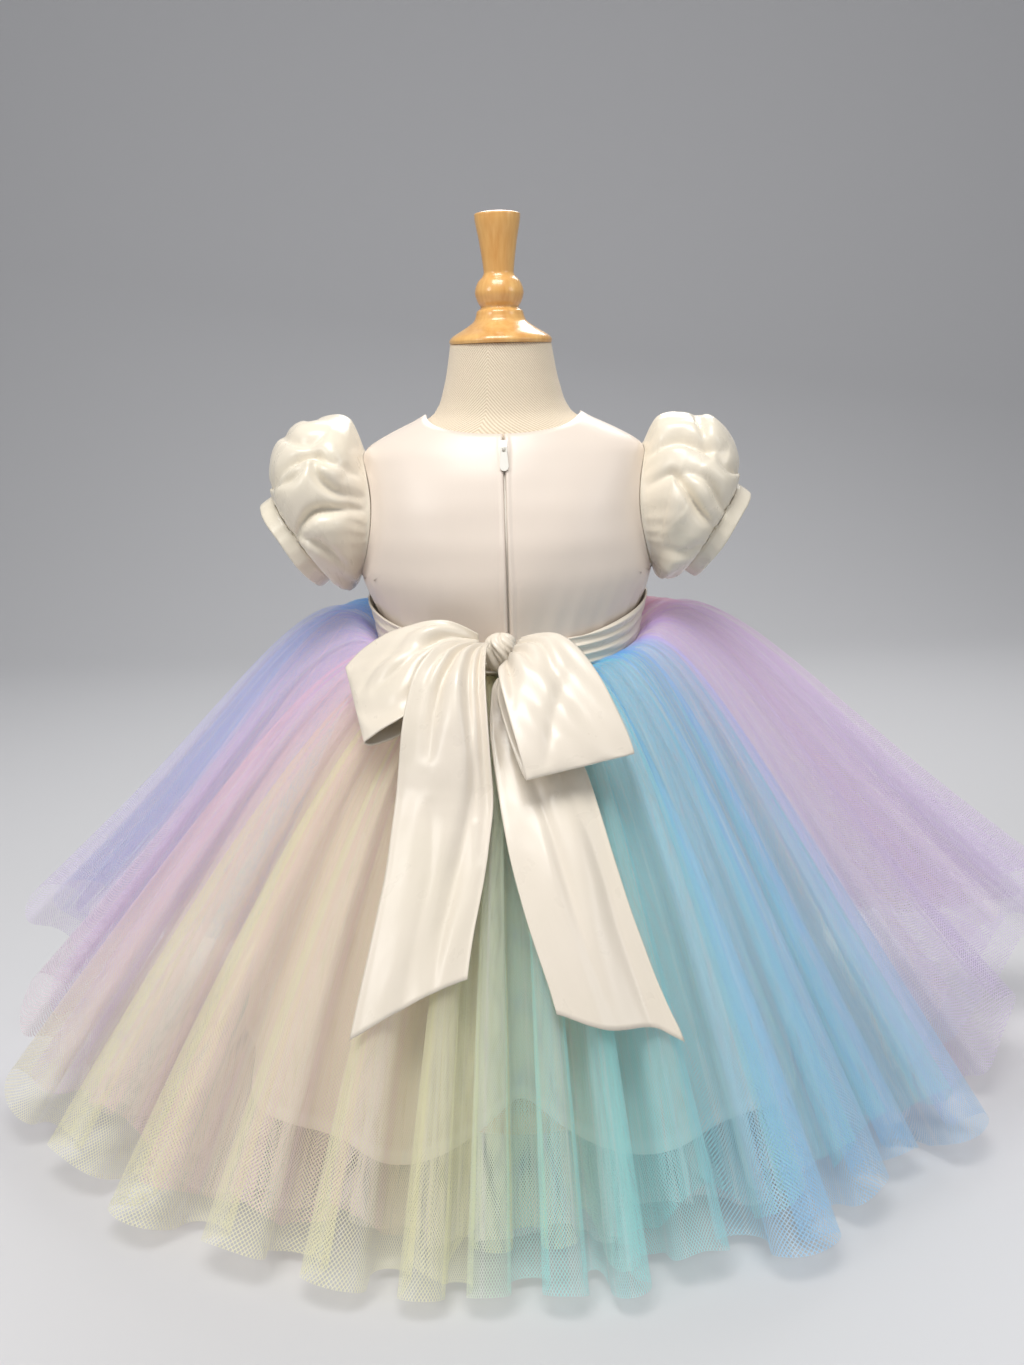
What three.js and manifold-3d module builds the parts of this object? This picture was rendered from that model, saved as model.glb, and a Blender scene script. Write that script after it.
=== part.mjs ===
// A child's dress with a tulle skirt, on a limbless dress form.
// Millimetres, +Z up. The origin is on the floor under the middle of the form's base.
// The back of the dress, with its zip and bow, faces -Y, and the wearer's right side is at +X.
// An azimuth is counted in degrees round the form from the middle of the back towards +X.
import * as THREE from 'three';
import Module from 'manifold-3d';
import { mergeVertices } from 'three/addons/utils/BufferGeometryUtils.js';

const wasm = await Module();
wasm.setup();

// Driving sizes
const SEAM = 0.4;             // gap between two pieces that are sewn together
const SATIN = 1.5;            // wall of the satin pieces
const RIBBON = 1.3;           // wall of the bow's ribbon
const NET = 1.0;              // wall of one tulle layer
const WAIST_HALF_WIDTH = 91.2;
const WAIST_HALF_DEPTH = 70.4;
const LAYER_STEP = 1.6;       // from one skirt layer to the next one at the waist
const FLUTE_COUNT = 28;       // folds round the outer skirt
const NECK_TOP = 535.7;
const FORM_FLOOR = 225;       // underside of the form's torso
const BASE_RADIUS = 100;
const BASE_HEIGHT = 16;
const POLE_RADIUS = 11;
const ARMHOLE = { low: 381, high: 467, cut: 25 };  // cut: degrees that the armhole reaches in

// Outer half sizes of the bodice at each height
const TORSO = [
  { z: 300, halfWidth: 89, halfDepth: 69 },
  { z: 340, halfWidth: 89.3, halfDepth: 69.3 },
  { z: 354, halfWidth: 92, halfDepth: 71 },
  { z: 368, halfWidth: 98, halfDepth: 73.5 },
  { z: 381, halfWidth: 102.5, halfDepth: 75.5 },
  { z: 405, halfWidth: 102, halfDepth: 75.5 },
  { z: 430, halfWidth: 100.5, halfDepth: 70 },
  { z: 450, halfWidth: 99.5, halfDepth: 62 },
  { z: 467, halfWidth: 98, halfDepth: 53 },
  { z: 481, halfWidth: 72, halfDepth: 44 },
  { z: 490, halfWidth: 50, halfDepth: 38.5 },
];

// Half sizes of the form, from its flat underside to the top of its neck
const FORM = [
  { z: 225, halfWidth: 80, halfDepth: 62 },
  { z: 233, halfWidth: 85, halfDepth: 66 },
  { z: 262, halfWidth: 86, halfDepth: 67 },
  { z: 300, halfWidth: 84, halfDepth: 64 },
  { z: 345, halfWidth: 83, halfDepth: 63 },
  { z: 368, halfWidth: 94, halfDepth: 69.5 },
  { z: 381, halfWidth: 98, halfDepth: 71 },
  { z: 405, halfWidth: 97.6, halfDepth: 71 },
  { z: 430, halfWidth: 96.4, halfDepth: 65.6 },
  { z: 450, halfWidth: 95.2, halfDepth: 57.2 },
  { z: 464.3, halfWidth: 93.8, halfDepth: 49.6 },
  { z: 478.8, halfWidth: 70.5, halfDepth: 42.3 },
  { z: 487.8, halfWidth: 48.6, halfDepth: 36.7 },
  { z: 498, halfWidth: 42.5, halfDepth: 35 },
  { z: 515, halfWidth: 38, halfDepth: 33.8 },
  { z: NECK_TOP, halfWidth: 34.5, halfDepth: 33 },
];

// Each fold of the outer skirt: where it leaves the waist, and where and how high its hem is.
// The first row is just right of the middle of the back, and the last row just left of it.
const FLUTES = [
  { waist: 4, hem: 4.5, reach: 292, lift: 13 },
  { waist: 11, hem: 11.5, reach: 295, lift: 10 },
  { waist: 18, hem: 20.5, reach: 282, lift: 20 },
  { waist: 26, hem: 32, reach: 308, lift: 14 },
  { waist: 40, hem: 46, reach: 296, lift: 20 },
  { waist: 51, hem: 55, reach: 302, lift: 24 },
  { waist: 62, hem: 64, reach: 328, lift: 18 },
  { waist: 78, hem: 84, reach: 345, lift: 30 },
  { waist: 90, hem: 100, reach: 434, lift: 132 },
  { waist: 106, hem: 116, reach: 362, lift: 76 },
  { waist: 123, hem: 131, reach: 326, lift: 40 },
  { waist: 143, hem: 146, reach: 312, lift: 26 },
  { waist: 158, hem: 160, reach: 306, lift: 18 },
  { waist: 173, hem: 173, reach: 302, lift: 14 },
  { waist: 187, hem: 187, reach: 302, lift: 16 },
  { waist: 202, hem: 200, reach: 306, lift: 20 },
  { waist: 217, hem: 214, reach: 314, lift: 26 },
  { waist: 232, hem: 228, reach: 326, lift: 38 },
  { waist: 247, hem: 243, reach: 340, lift: 76 },
  { waist: 266, hem: 258, reach: 384, lift: 118 },
  { waist: 290, hem: 270, reach: 372, lift: 64 },
  { waist: 311, hem: 281, reach: 364, lift: 22 },
  { waist: 324, hem: 297, reach: 332, lift: 22 },
  { waist: 333, hem: 311, reach: 320, lift: 14 },
  { waist: 340, hem: 325, reach: 304, lift: 20 },
  { waist: 346, hem: 338.5, reach: 298, lift: 12 },
  { waist: 351.5, hem: 348.5, reach: 294, lift: 10 },
  { waist: 356.5, hem: 355.5, reach: 290, lift: 12 },
];

// The panels of the outer skirt, each up to the next row and the last one up to the first. waist and
// hem: where the panel starts, counted in flutes from the middle of the back.
const GORES = [
  { waist: 0, hem: -0.4, colour: 'aqua' },
  { waist: 3.4, hem: 3, colour: 'blue' },
  { waist: 6, hem: 6.9, colour: 'lilac' },
  { waist: 8.6, hem: 9, colour: 'pink' },
  { waist: 11.2, hem: 11.2, colour: 'yellow' },
  { waist: 14, hem: 14, colour: 'aqua' },
  { waist: 16.4, hem: 16.4, colour: 'blue' },
  { waist: 19.6, hem: 18.9, colour: 'lilac' },
  { waist: 21.2, hem: 20.4, colour: 'pink' },
  { waist: 23.4, hem: 21, colour: 'yellow' },
];

// The skirt's two tulle layers. drawnIn: how much nearer to the axis its hem is.
const OVER = { depth: 0, drawnIn: 0, fold: 20 };
const UNDER = { depth: LAYER_STEP, drawnIn: 40, fold: 17 };
const FLUTE_WIDTH = { waist: 17, hem: 66 };  // least width of a flute
const HEM_CLEARANCE = 7;      // lowest the hem hangs above the floor
const FOLD_SET = 0.5;         // share of a fold's height that lies below the outline

// The sleeve on the right, ring by ring from the armhole out to the cuff, as seen from behind
const PUFF = [
  { topX: 99, topZ: 467, lowX: 103, lowZ: 381, halfDepth: 27 },
  { topX: 105, topZ: 484, lowX: 105, lowZ: 377, halfDepth: 38 },
  { topX: 119, topZ: 490, lowX: 109, lowZ: 374.5, halfDepth: 46 },
  { topX: 140, topZ: 488, lowX: 113, lowZ: 374, halfDepth: 48 },
  { topX: 156, topZ: 471, lowX: 117, lowZ: 374.5, halfDepth: 45 },
  { topX: 162, topZ: 451, lowX: 120, lowZ: 376, halfDepth: 39 },
  { topX: 160, topZ: 437, lowX: 122, lowZ: 381, halfDepth: 33 },
];
const PUFF_SINK = { right: 7, left: 2 };  // how much lower than the rings' tops each puff has settled
const PUFF_GATHERS = 10;
const PUFF_GATHER_DEPTH = 2.4;
const CUFF = { radius: 34.4, width: 12, wall: 2.2 };

// The two loops of the bow, from the knot to the fold. a: upper or inner edge, b: the other edge.
const LOOP_LEFT = [
  { a: [-17.4, -84, 345], b: [-17.8, -91, 327], loft: 4 },
  { a: [-42, -84, 352], b: [-42, -116, 319], loft: 11 },
  { a: [-74, -77, 347], b: [-66, -136, 303], loft: 11 },
  { a: [-96, -78, 337], b: [-84, -139, 295], loft: 8 },
  { a: [-107, -82, 330], b: [-91, -139, 293], loft: 6 },
];
const LOOP_RIGHT = [
  { a: [5.4, -90.6, 344], b: [-3, -96.4, 330], loft: 4 },
  { a: [31, -106, 345], b: [-8, -128, 327], loft: 10 },
  { a: [52, -127, 327], b: [-3, -152, 308], loft: 10 },
  { a: [66, -147, 304], b: [3, -168, 290], loft: 8 },
  { a: [74, -158, 287], b: [8, -178, 278], loft: 5 },
];

// The two tails, down the skirt. left and right are places between folds, above: the air below them.
const TAIL_LEFT = [
  { down: 0.12, left: -2.05, right: -1.05, above: 25.5 },
  { down: 0.20, left: -2.95, right: -0.98, above: 33 },
  { down: 0.28, left: -3.12, right: -0.85, above: 33 },
  { down: 0.38, left: -3.02, right: -0.64, above: 24 },
  { down: 0.50, left: -2.88, right: -0.44, above: 5 },
  { down: 0.60, left: -2.75, right: -0.62, above: 0.45 },
  { down: 0.69, left: -2.72, right: -0.94, above: 0.45 },
  { down: 0.80, left: -2.72, right: -1.10, above: 0.45 },
];
const TAIL_RIGHT = [
  { down: 0.12, left: -0.50, right: 0.50, above: 0.7 },
  { down: 0.22, left: -0.78, right: 1.25, above: 0.7 },
  { down: 0.34, left: -0.72, right: 1.72, above: 0.7 },
  { down: 0.46, left: -0.40, right: 2.05, above: 0.7 },
  { down: 0.58, left: -0.10, right: 2.20, above: 0.7 },
  { down: 0.67, left: 0.20, right: 2.36, above: 0.7 },
  { down: 0.76, left: 0.58, right: 2.64, above: 0.7 },
  { down: 0.82, left: 0.80, right: 2.86, above: 0.7 },
];
const CUT_LEFT = { left: 0.795, right: 0.725 };  // where the slanted cut of each tail meets its edges
const CUT_RIGHT = { left: 0.765, right: 0.815 };
const KNOT = { x: -5.5, y: -84.4, z: 336.5, halfWidth: 12.5, halfDepth: 10.5, halfHeight: 15 };

// Profile of the turned neck cap
const CAP = [
  { z: 536, radius: 34.6 }, { z: 538.5, radius: 35 }, { z: 541.5, radius: 32.5 },
  { z: 546, radius: 25 }, { z: 550.5, radius: 18.5 }, { z: 554, radius: 16.6 },
  { z: 557.5, radius: 15.6 }, { z: 560, radius: 13 }, { z: 564, radius: 15 },
  { z: 570, radius: 16.6 }, { z: 576.5, radius: 14.6 }, { z: 581, radius: 10.8 },
  { z: 586, radius: 10.5 }, { z: 603, radius: 12.8 }, { z: 618, radius: 15.4 },
  { z: 621.5, radius: 13.5 },
];
const CAP_TOP = 623.2;

// Zip
const ZIP = { halfTape: 5, top: 461, low: 345, wall: 0.6, behind: 0.7 };  // behind: from the bodice to the tape
const SLIDER = { halfLength: 4.4, thick: 1.7, wide: 4.6, nose: 1.4, seat: 0.4 };  // seat: bail sunk into the body
const PULL = { top: 4.4, neck: 3.2, wide: 5.8, length: 15.5, thick: 1.1 };
const PULL_WINDOW = { side: 1.1, top: -0.5, low: -2.9 };  // the opening that the bail runs through
const BAIL = { x: 0, y: -57.0, z: 468.2, hole: 1.3, rim: 2.1, width: 1.3 };
const SLIDER_TILT = 28;       // degrees that the slider lies back on the slope of the shoulders
const PULL_TILT = 17;         // degrees that the hanging pull leans out, its tip on the cloth

// Colours
const SATIN_LOOK = { color: 0xeee3dd, roughness: 0.35, metalness: 0 };
const COVER_LOOK = { color: 0xd9c5ac, roughness: 0.9, metalness: 0 };
const WOOD_LOOK = { color: 0xd9a55a, roughness: 0.3, metalness: 0 };
const LINING_LOOK = { color: 0xe6dccd, roughness: 0.5, metalness: 0 };
const STEEL_LOOK = { color: 0x8e8e8c, roughness: 0.4, metalness: 0.8 };
const ZIP_LOOK = { color: 0xf1ede6, roughness: 0.4, metalness: 0 };
const INNER_LOOK = { color: 0xe3d3d5, roughness: 0.8, metalness: 0 };
const RAINBOW = { aqua: 0xafd8c4, blue: 0xa5c6e8, lilac: 0xc6bfe0, pink: 0xe0c4cb, yellow: 0xd9d4ae };

const model = new THREE.Group();
const radians = THREE.MathUtils.degToRad;
const mix = THREE.MathUtils.lerp;

function add(name, geometry, look) {
  const mesh = new THREE.Mesh(geometry, new THREE.MeshStandardMaterial(look));
  mesh.name = name;
  model.add(mesh);
  return mesh;
}

function steps(count) {
  return Array.from({ length: count + 1 }, (_, i) => i / count);
}

// A value of a table column, straight between two rows
function between(table, key, column, at) {
  let row = 1;
  while (row < table.length - 1 && table[row][key] < at) row += 1;
  const [low, high] = [table[row - 1], table[row]];
  const share = THREE.MathUtils.clamp((at - low[key]) / (high[key] - low[key]), 0, 1);
  return mix(low[column], high[column], share);
}

// A smooth curve through the values, for a place from 0 to 1
function smooth(values, place) {
  const at = THREE.MathUtils.clamp(place, 0, 1) * (values.length - 1);
  const row = Math.min(Math.floor(at), values.length - 2);
  const value = (k) => values[THREE.MathUtils.clamp(row + k, 0, values.length - 1)];
  return catmull(value(-1), value(0), value(1), value(2), at - row);
}

function catmull(a, b, c, d, t) {
  return 0.5 * (2 * b + (c - a) * t + (2 * a - 5 * b + 4 * c - d) * t ** 2 + (3 * b - a - 3 * c + d) * t ** 3);
}

function meshFrom(positions, triangles) {
  const geometry = new THREE.BufferGeometry();
  geometry.setAttribute('position', new THREE.Float32BufferAttribute(positions, 3));
  geometry.setIndex(triangles);
  geometry.computeVertexNormals();
  return geometry;
}

// The outward direction at a point of a grid whose rows run down the cloth and whose columns run
// across it, so that down x across points out. A ring closes on its first column.
function normalAt(grid, row, column, ring) {
  const lastRow = grid.length - 1;
  const columns = grid[0].length;
  const wrap = (k) => (ring ? (k + columns) % columns : THREE.MathUtils.clamp(k, 0, columns - 1));
  const down = grid[Math.min(row + 1, lastRow)][column].clone().sub(grid[Math.max(row - 1, 0)][column]);
  const across = grid[row][wrap(column + 1)].clone().sub(grid[row][wrap(column - 1)]);
  return down.cross(across).normalize();
}

function moved(grid, out, ring = false) {
  return grid.map((line, i) => line.map((point, j) => (
    point.clone().addScaledVector(normalAt(grid, i, j, ring), out))));
}

// Cloth of the given wall, from a grid of points on its outer face
function cloth(grid, wall, ring = false) {
  const [rows, columns] = [grid.length, grid[0].length];
  const faces = [grid, moved(grid, -wall, ring)];
  const positions = faces.flat(2).flatMap((point) => point.toArray());
  const index = (side, i, j) => side * rows * columns + i * columns + (j % columns);
  const triangles = [];
  const quad = (a, b, c, d) => triangles.push(a, b, c, a, c, d);
  const cells = ring ? columns : columns - 1;
  for (let j = 0; j < cells; j += 1) {
    for (let i = 0; i < rows - 1; i += 1) {
      quad(index(0, i, j), index(0, i + 1, j), index(0, i + 1, j + 1), index(0, i, j + 1));
      quad(index(1, i, j), index(1, i, j + 1), index(1, i + 1, j + 1), index(1, i + 1, j));
    }
    quad(index(0, 0, j), index(0, 0, j + 1), index(1, 0, j + 1), index(1, 0, j));
    quad(index(0, rows - 1, j), index(1, rows - 1, j), index(1, rows - 1, j + 1), index(0, rows - 1, j + 1));
  }
  if (!ring) {
    for (let i = 0; i < rows - 1; i += 1) {
      const last = columns - 1;
      quad(index(0, i, 0), index(1, i, 0), index(1, i + 1, 0), index(0, i + 1, 0));
      quad(index(0, i, last), index(0, i + 1, last), index(1, i + 1, last), index(1, i, last));
    }
  }
  return meshFrom(positions, triangles);
}

// A closed body from elliptical rings, with a flat end at the bottom and at the top
function stacked(sections, sides) {
  const positions = [];
  const triangles = [];
  sections.forEach(({ z, halfWidth, halfDepth }) => {
    for (let k = 0; k < sides; k += 1) {
      const turn = (2 * Math.PI * k) / sides;
      positions.push(halfWidth * Math.sin(turn), -halfDepth * Math.cos(turn), z);
    }
  });
  const ends = [sections[0].z, sections.at(-1).z].map((z) => {
    positions.push(0, 0, z);
    return positions.length / 3 - 1;
  });
  for (let k = 0; k < sides; k += 1) {
    const next = (k + 1) % sides;
    for (let row = 0; row < sections.length - 1; row += 1) {
      const [a, b] = [row * sides + k, row * sides + next];
      triangles.push(a, b, b + sides, a, b + sides, a + sides);
    }
    const top = (sections.length - 1) * sides;
    triangles.push(ends[0], next, k, ends[1], top + k, top + next);
  }
  return meshFrom(positions, triangles);
}

function lathe(profile, sides) {
  const geometry = new THREE.LatheGeometry(profile.map(([r, z]) => new THREE.Vector2(r, z)), sides);
  return geometry.rotateX(Math.PI / 2);
}

// The dress form
function dressForm() {
  add('form_body', stacked(FORM, 32), COVER_LOOK);
  const profile = [[0, CAP[0].z], ...CAP.map(({ radius, z }) => [radius, z]), [0, CAP_TOP]];
  add('neck_cap', lathe(profile, 22), WOOD_LOOK);
  const pole = new THREE.CylinderGeometry(POLE_RADIUS, POLE_RADIUS, FORM_FLOOR - BASE_HEIGHT - 2 * SEAM, 20);
  pole.rotateX(Math.PI / 2);
  add('form_pole', pole, STEEL_LOOK).position.z = (FORM_FLOOR + BASE_HEIGHT) / 2;
  const edge = 4;
  const disc = [
    [0, 0], [BASE_RADIUS - 1, 0], [BASE_RADIUS, 1], [BASE_RADIUS, BASE_HEIGHT - edge],
    [BASE_RADIUS - edge, BASE_HEIGHT], [0, BASE_HEIGHT],
  ];
  add('form_base', lathe(disc, 40), WOOD_LOOK);
}

// The bodice. A point of its outer face at an azimuth and height.
function torsoPoint(azimuth, z) {
  const turn = radians(azimuth);
  const [width, depth] = ['halfWidth', 'halfDepth'].map((column) => between(TORSO, 'z', column, z));
  return new THREE.Vector3(width * Math.sin(turn), -depth * Math.cos(turn), z);
}

// Height of the seam between the skirt and the bodice, at the sash's lower edge
function waistHeight(azimuth) {
  const turn = radians(azimuth);
  return 333.8 - 13.5 * Math.cos(turn) - 1.3 * Math.cos(2 * turn);
}

function sashTop(azimuth) {
  const turn = radians(azimuth);
  return 359.8 - 17.5 * Math.cos(turn) - 3.3 * Math.cos(2 * turn);
}

// How far the panel reaches round from the middle, in degrees: less where the armhole is cut in
function panelReach(z) {
  const middle = (ARMHOLE.low + ARMHOLE.high) / 2;
  const place = (z - middle) / (ARMHOLE.high - middle);
  return 90 - ARMHOLE.cut * Math.sqrt(Math.max(0, 1 - place ** 2));
}

const BODICE_ROWS = [0, 0.058, 0.148, 0.26, 0.385, 0.55, 0.7, 0.785, 0.875, 0.965, 1];  // shares of the way down
const SHOULDER = 490;         // height of the neckline at the shoulder seam

// A bodice panel. first and last say how far round its edges are, from -1 to 1 for the side seams.
const CENTRE_TRIM = 0.28;     // degrees that a seam takes off a panel's edge in the middle of the back
const SIDE_TRIM = 0.4;        // degrees that a side seam takes off beyond that

function bodicePanel({ first, last, centre, neck, columns }) {
  return BODICE_ROWS.map((down) => steps(columns).map((share) => {
    const across = mix(first, last, share);
    const neckline = mix(neck, SHOULDER, Math.sin(Math.abs(across) * Math.PI / 2) ** 2);
    const z = mix(neckline, waistHeight(centre + 90 * across) + SEAM, down);
    const trim = (CENTRE_TRIM + SIDE_TRIM * Math.abs(across)) * (1 - 2 * share);
    return torsoPoint(centre + panelReach(z) * across + trim, z);
  }));
}

function bodice() {
  const front = bodicePanel({ first: -1, last: 1, centre: 180, neck: 466, columns: 16 });
  const backRight = bodicePanel({ first: 0, last: 1, centre: 0, neck: 477, columns: 8 });
  const backLeft = bodicePanel({ first: -1, last: 0, centre: 0, neck: 477, columns: 8 });
  add('bodice_front', cloth(front, SATIN), SATIN_LOOK);
  add('bodice_back_right', cloth(backRight, SATIN), SATIN_LOOK);
  add('bodice_back_left', cloth(backLeft, SATIN), SATIN_LOOK);
}

// The sash, a band with soft lengthwise folds round the bodice's lower edge
function sash() {
  const out = 3.1;                    // from the bodice to the band's outer face
  const folds = [0, 1.1, -0.3, 0.9];  // how far out each row is beyond that
  const clear = 3 * SEAM;             // between the band's lower edge and the skirt
  const around = 32;
  const grid = folds.map((fold, i) => Array.from({ length: around }, (_, j) => {
    const azimuth = (360 * j) / around;
    const z = mix(sashTop(azimuth), waistHeight(azimuth) + clear, i / (folds.length - 1));
    const point = torsoPoint(azimuth, z);
    const side = new THREE.Vector3(point.x, point.y, 0).normalize();
    return point.addScaledVector(side, out + fold);
  }));
  add('sash_band', cloth(grid, SATIN, true), SATIN_LOOK);
}

// The skirt. A value of a column of FLUTES at a place counted in flutes from the middle of the back.
function fluteValue(column, flute) {
  const row = Math.floor(flute - 0.5);
  const value = (k) => {
    const turn = Math.floor((row + k) / FLUTE_COUNT);
    const full = column === 'waist' || column === 'hem' ? 360 * turn : 0;
    return FLUTES[row + k - turn * FLUTE_COUNT][column] + full;
  };
  return catmull(value(-1), value(0), value(1), value(2), flute - 0.5 - row);
}

// A number that has one value at the back, one at the sides and one at the front
function roundAbout(back, side, front, turn) {
  const even = (back + front) / 2;
  return (even + side) / 2 + ((back - front) / 2) * Math.cos(turn) + ((even - side) / 2) * Math.cos(2 * turn);
}

// The middle face of a skirt layer, before its folds. down runs from 0 at the waist to 1 at the hem.
function skirtBase(flute, down, layer) {
  const leave = radians(fluteValue('waist', flute));
  const arrive = radians(fluteValue('hem', flute));
  const reach = fluteValue('reach', flute) - layer.drawnIn;
  const waist = new THREE.Vector3(
    (WAIST_HALF_WIDTH - layer.depth) * Math.sin(leave),
    -(WAIST_HALF_DEPTH - layer.depth) * Math.cos(leave),
    waistHeight(THREE.MathUtils.radToDeg(leave)) - layer.depth,
  );
  const hem = new THREE.Vector3(reach * Math.sin(arrive), -reach * Math.cos(arrive), fluteValue('lift', flute));
  const control = waist.clone().lerp(hem, 0.3);
  control.z += roundAbout(112, 40, 105, leave);
  const point = waist.multiplyScalar((1 - down) ** 2)
    .addScaledVector(control, 2 * down * (1 - down))
    .addScaledVector(hem, down ** 2);
  point.z += roundAbout(0, 84, 44, leave) * 4 * down * (1 - down) ** 3;
  return point;
}

function skirtNormal(flute, down, layer) {
  const [along, turn] = [0.002, 0.02];
  const [low, high] = [Math.max(down - along, 0), Math.min(down + along, 1)];
  const slope = skirtBase(flute, high, layer).sub(skirtBase(flute, low, layer));
  const across = skirtBase(flute + turn, down, layer).sub(skirtBase(flute - turn, down, layer));
  return slope.cross(across).normalize();
}

// A point on a skirt layer, out from its middle face by its folds and by a further distance
function skirtPoint(flute, down, layer, further = 0) {
  const wave = -Math.cos(2 * Math.PI * flute) - FOLD_SET;
  const out = layer.fold * down ** 1.1 * wave + further;
  const point = skirtBase(flute, down, layer).addScaledVector(skirtNormal(flute, down, layer), out);
  point.z = Math.max(point.z, HEM_CLEARANCE);
  return point;
}

// A point above the crests of the outer skirt, for what lies on it
function onSkirt(flute, down, above) {
  const crest = OVER.fold * down ** 1.1 * (1 - FOLD_SET);
  return skirtBase(flute, down, OVER).addScaledVector(skirtNormal(flute, down, OVER), crest + above);
}

function tulle() {
  const end = { waist: GORES[0].waist + FLUTE_COUNT, hem: GORES[0].hem + FLUTE_COUNT };
  GORES.forEach((gore, i) => {
    const next = GORES[i + 1] ?? end;
    const columns = Math.round(6 * Math.max(next.waist - gore.waist, next.hem - gore.hem));
    const grid = steps(5).map((down) => steps(columns).map((share) => {
      const trim = (3 * SEAM) / mix(FLUTE_WIDTH.waist, FLUTE_WIDTH.hem, down);
      const [first, last] = [mix(gore.waist, gore.hem, down), mix(next.waist, next.hem, down)];
      return skirtPoint(mix(first + trim, last - trim, share), down, OVER);
    }));
    const name = `tulle_over_${String(i + 1).padStart(2, '0')}`;
    add(name, cloth(grid, NET), { color: RAINBOW[gore.colour], roughness: 0.8, metalness: 0 });
  });
  const around = FLUTE_COUNT * 4;
  const inner = steps(4).map((down) => Array.from({ length: around }, (_, j) => (
    skirtPoint((j * FLUTE_COUNT) / around, down, UNDER))));
  add('tulle_under', cloth(inner, NET, true), INNER_LOOK);
}

// The lining, a bell with broad soft folds and one deep fold in the middle of the back
const LINING = { inset: 2.64, reach: 203, hem: 33, valley: 88, valleyWidth: 15, folds: 9, foldDepth: 9 };

function liningPoint(azimuth, down) {
  const turn = radians(azimuth);
  const fromBack = ((azimuth + 180) % 360) - 180;
  const valley = LINING.valley * Math.exp(-((fromBack / LINING.valleyWidth) ** 2));
  const reach = LINING.reach - valley + LINING.foldDepth * Math.cos(LINING.folds * turn + Math.PI);
  const [width, depth] = [WAIST_HALF_WIDTH - LINING.inset, WAIST_HALF_DEPTH - LINING.inset];
  const spread = 1 - (1 - down) ** 1.3;
  const drop = down ** 1.15;
  return new THREE.Vector3(
    mix(width, reach, spread) * Math.sin(turn),
    -mix(depth, reach, spread) * Math.cos(turn),
    mix(waistHeight(azimuth) - LINING.inset, LINING.hem, drop),
  );
}

function lining() {
  const around = 72;
  const grid = steps(5).map((down) => Array.from({ length: around }, (_, j) => (
    liningPoint((360 * j) / around, down))));
  add('skirt_lining', cloth(grid, NET, true), LINING_LOOK);
}

// The sleeve on the right. Ring point at an angle from the top, towards +Y.
function puffPoint(angle, out, sink) {
  const column = (name) => smooth(PUFF.map((row) => row[name]), out);
  const [topX, topZ, lowX, lowZ] = ['topX', 'topZ', 'lowX', 'lowZ'].map(column);
  const settled = topZ - sink * Math.sin(Math.PI * Math.min(1, out * 1.2));
  const up = (1 + Math.cos(angle)) / 2;
  const depth = column('halfDepth');
  const puffed = new THREE.Vector3(mix(lowX, topX, up), depth * Math.sin(angle), mix(lowZ, settled, up));
  const centre = new THREE.Vector3((topX + lowX) / 2, 0, (settled + lowZ) / 2);
  const ripple = PUFF_GATHER_DEPTH * Math.sin(Math.PI * out) ** 0.6 * Math.cos(PUFF_GATHERS * angle);
  puffed.addScaledVector(puffed.clone().sub(centre).normalize(), ripple);
  const z = mix(ARMHOLE.low, ARMHOLE.high, up);
  const edge = 0.9;           // degrees between the armhole's edge and the sleeve
  const sewn = torsoPoint(90 + (ARMHOLE.cut - edge) * Math.sin(angle), mix(z, 424, 0.012));
  return sewn.lerp(puffed, Math.min(1, out * 6));
}

function sleeves() {
  const around = 28;
  const puff = (sink) => [0, 0.12, 0.3, 0.48, 0.66, 0.84, 1].map((out) => (
    Array.from({ length: around }, (_, j) => puffPoint((2 * Math.PI * j) / around, out, sink))));
  const outlet = PUFF.at(-1);
  const rise = new THREE.Vector3(outlet.topX - outlet.lowX, 0, outlet.topZ - outlet.lowZ).normalize();
  const arm = new THREE.Vector3(rise.z, 0, -rise.x);
  const middle = new THREE.Vector3((outlet.topX + outlet.lowX) / 2, 0, (outlet.topZ + outlet.lowZ) / 2);
  const band = steps(2).map((along) => Array.from({ length: around }, (_, j) => {
    const angle = (2 * Math.PI * j) / around;
    const bulge = 0.8 * Math.sin(Math.PI * along);
    return middle.clone()
      .addScaledVector(arm, SEAM + CUFF.width * along)
      .addScaledVector(rise, (CUFF.radius + bulge) * Math.cos(angle))
      .add(new THREE.Vector3(0, (CUFF.radius + bulge) * Math.sin(angle), 0));
  }));
  for (const [side, turn] of [['right', 0], ['left', Math.PI]]) {
    add(`sleeve_${side}`, cloth(puff(PUFF_SINK[side]), SATIN, true).rotateZ(turn), SATIN_LOOK);
    add(`cuff_${side}`, cloth(band, CUFF.wall, true).rotateZ(turn), SATIN_LOOK);
  }
}

// A loop of the bow: the ribbon runs out to the fold on the outer side and back on the inner side
function bowLoop(rows, facing) {
  const runs = 12;
  const across = 5;
  const end = 0.02;
  const grid = steps(runs).map((run) => steps(across).map((share) => {
    const swing = mix(end, 2 - end, run) * (Math.PI / 2);
    const out = Math.sin(swing);
    const edge = (name, axis) => smooth(rows.map((row) => row[name][axis]), out);
    const [a, b] = ['a', 'b'].map((name) => new THREE.Vector3(...[0, 1, 2].map((axis) => edge(name, axis))));
    const middle = a.clone().lerp(b, share);
    const loft = smooth(rows.map((row) => row.loft), out);
    const round = Math.cos(swing) * (0.75 + 0.25 * Math.sin(Math.PI * share));
    return middle.addScaledVector(facing, loft * round);
  }));
  return grid;
}

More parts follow.
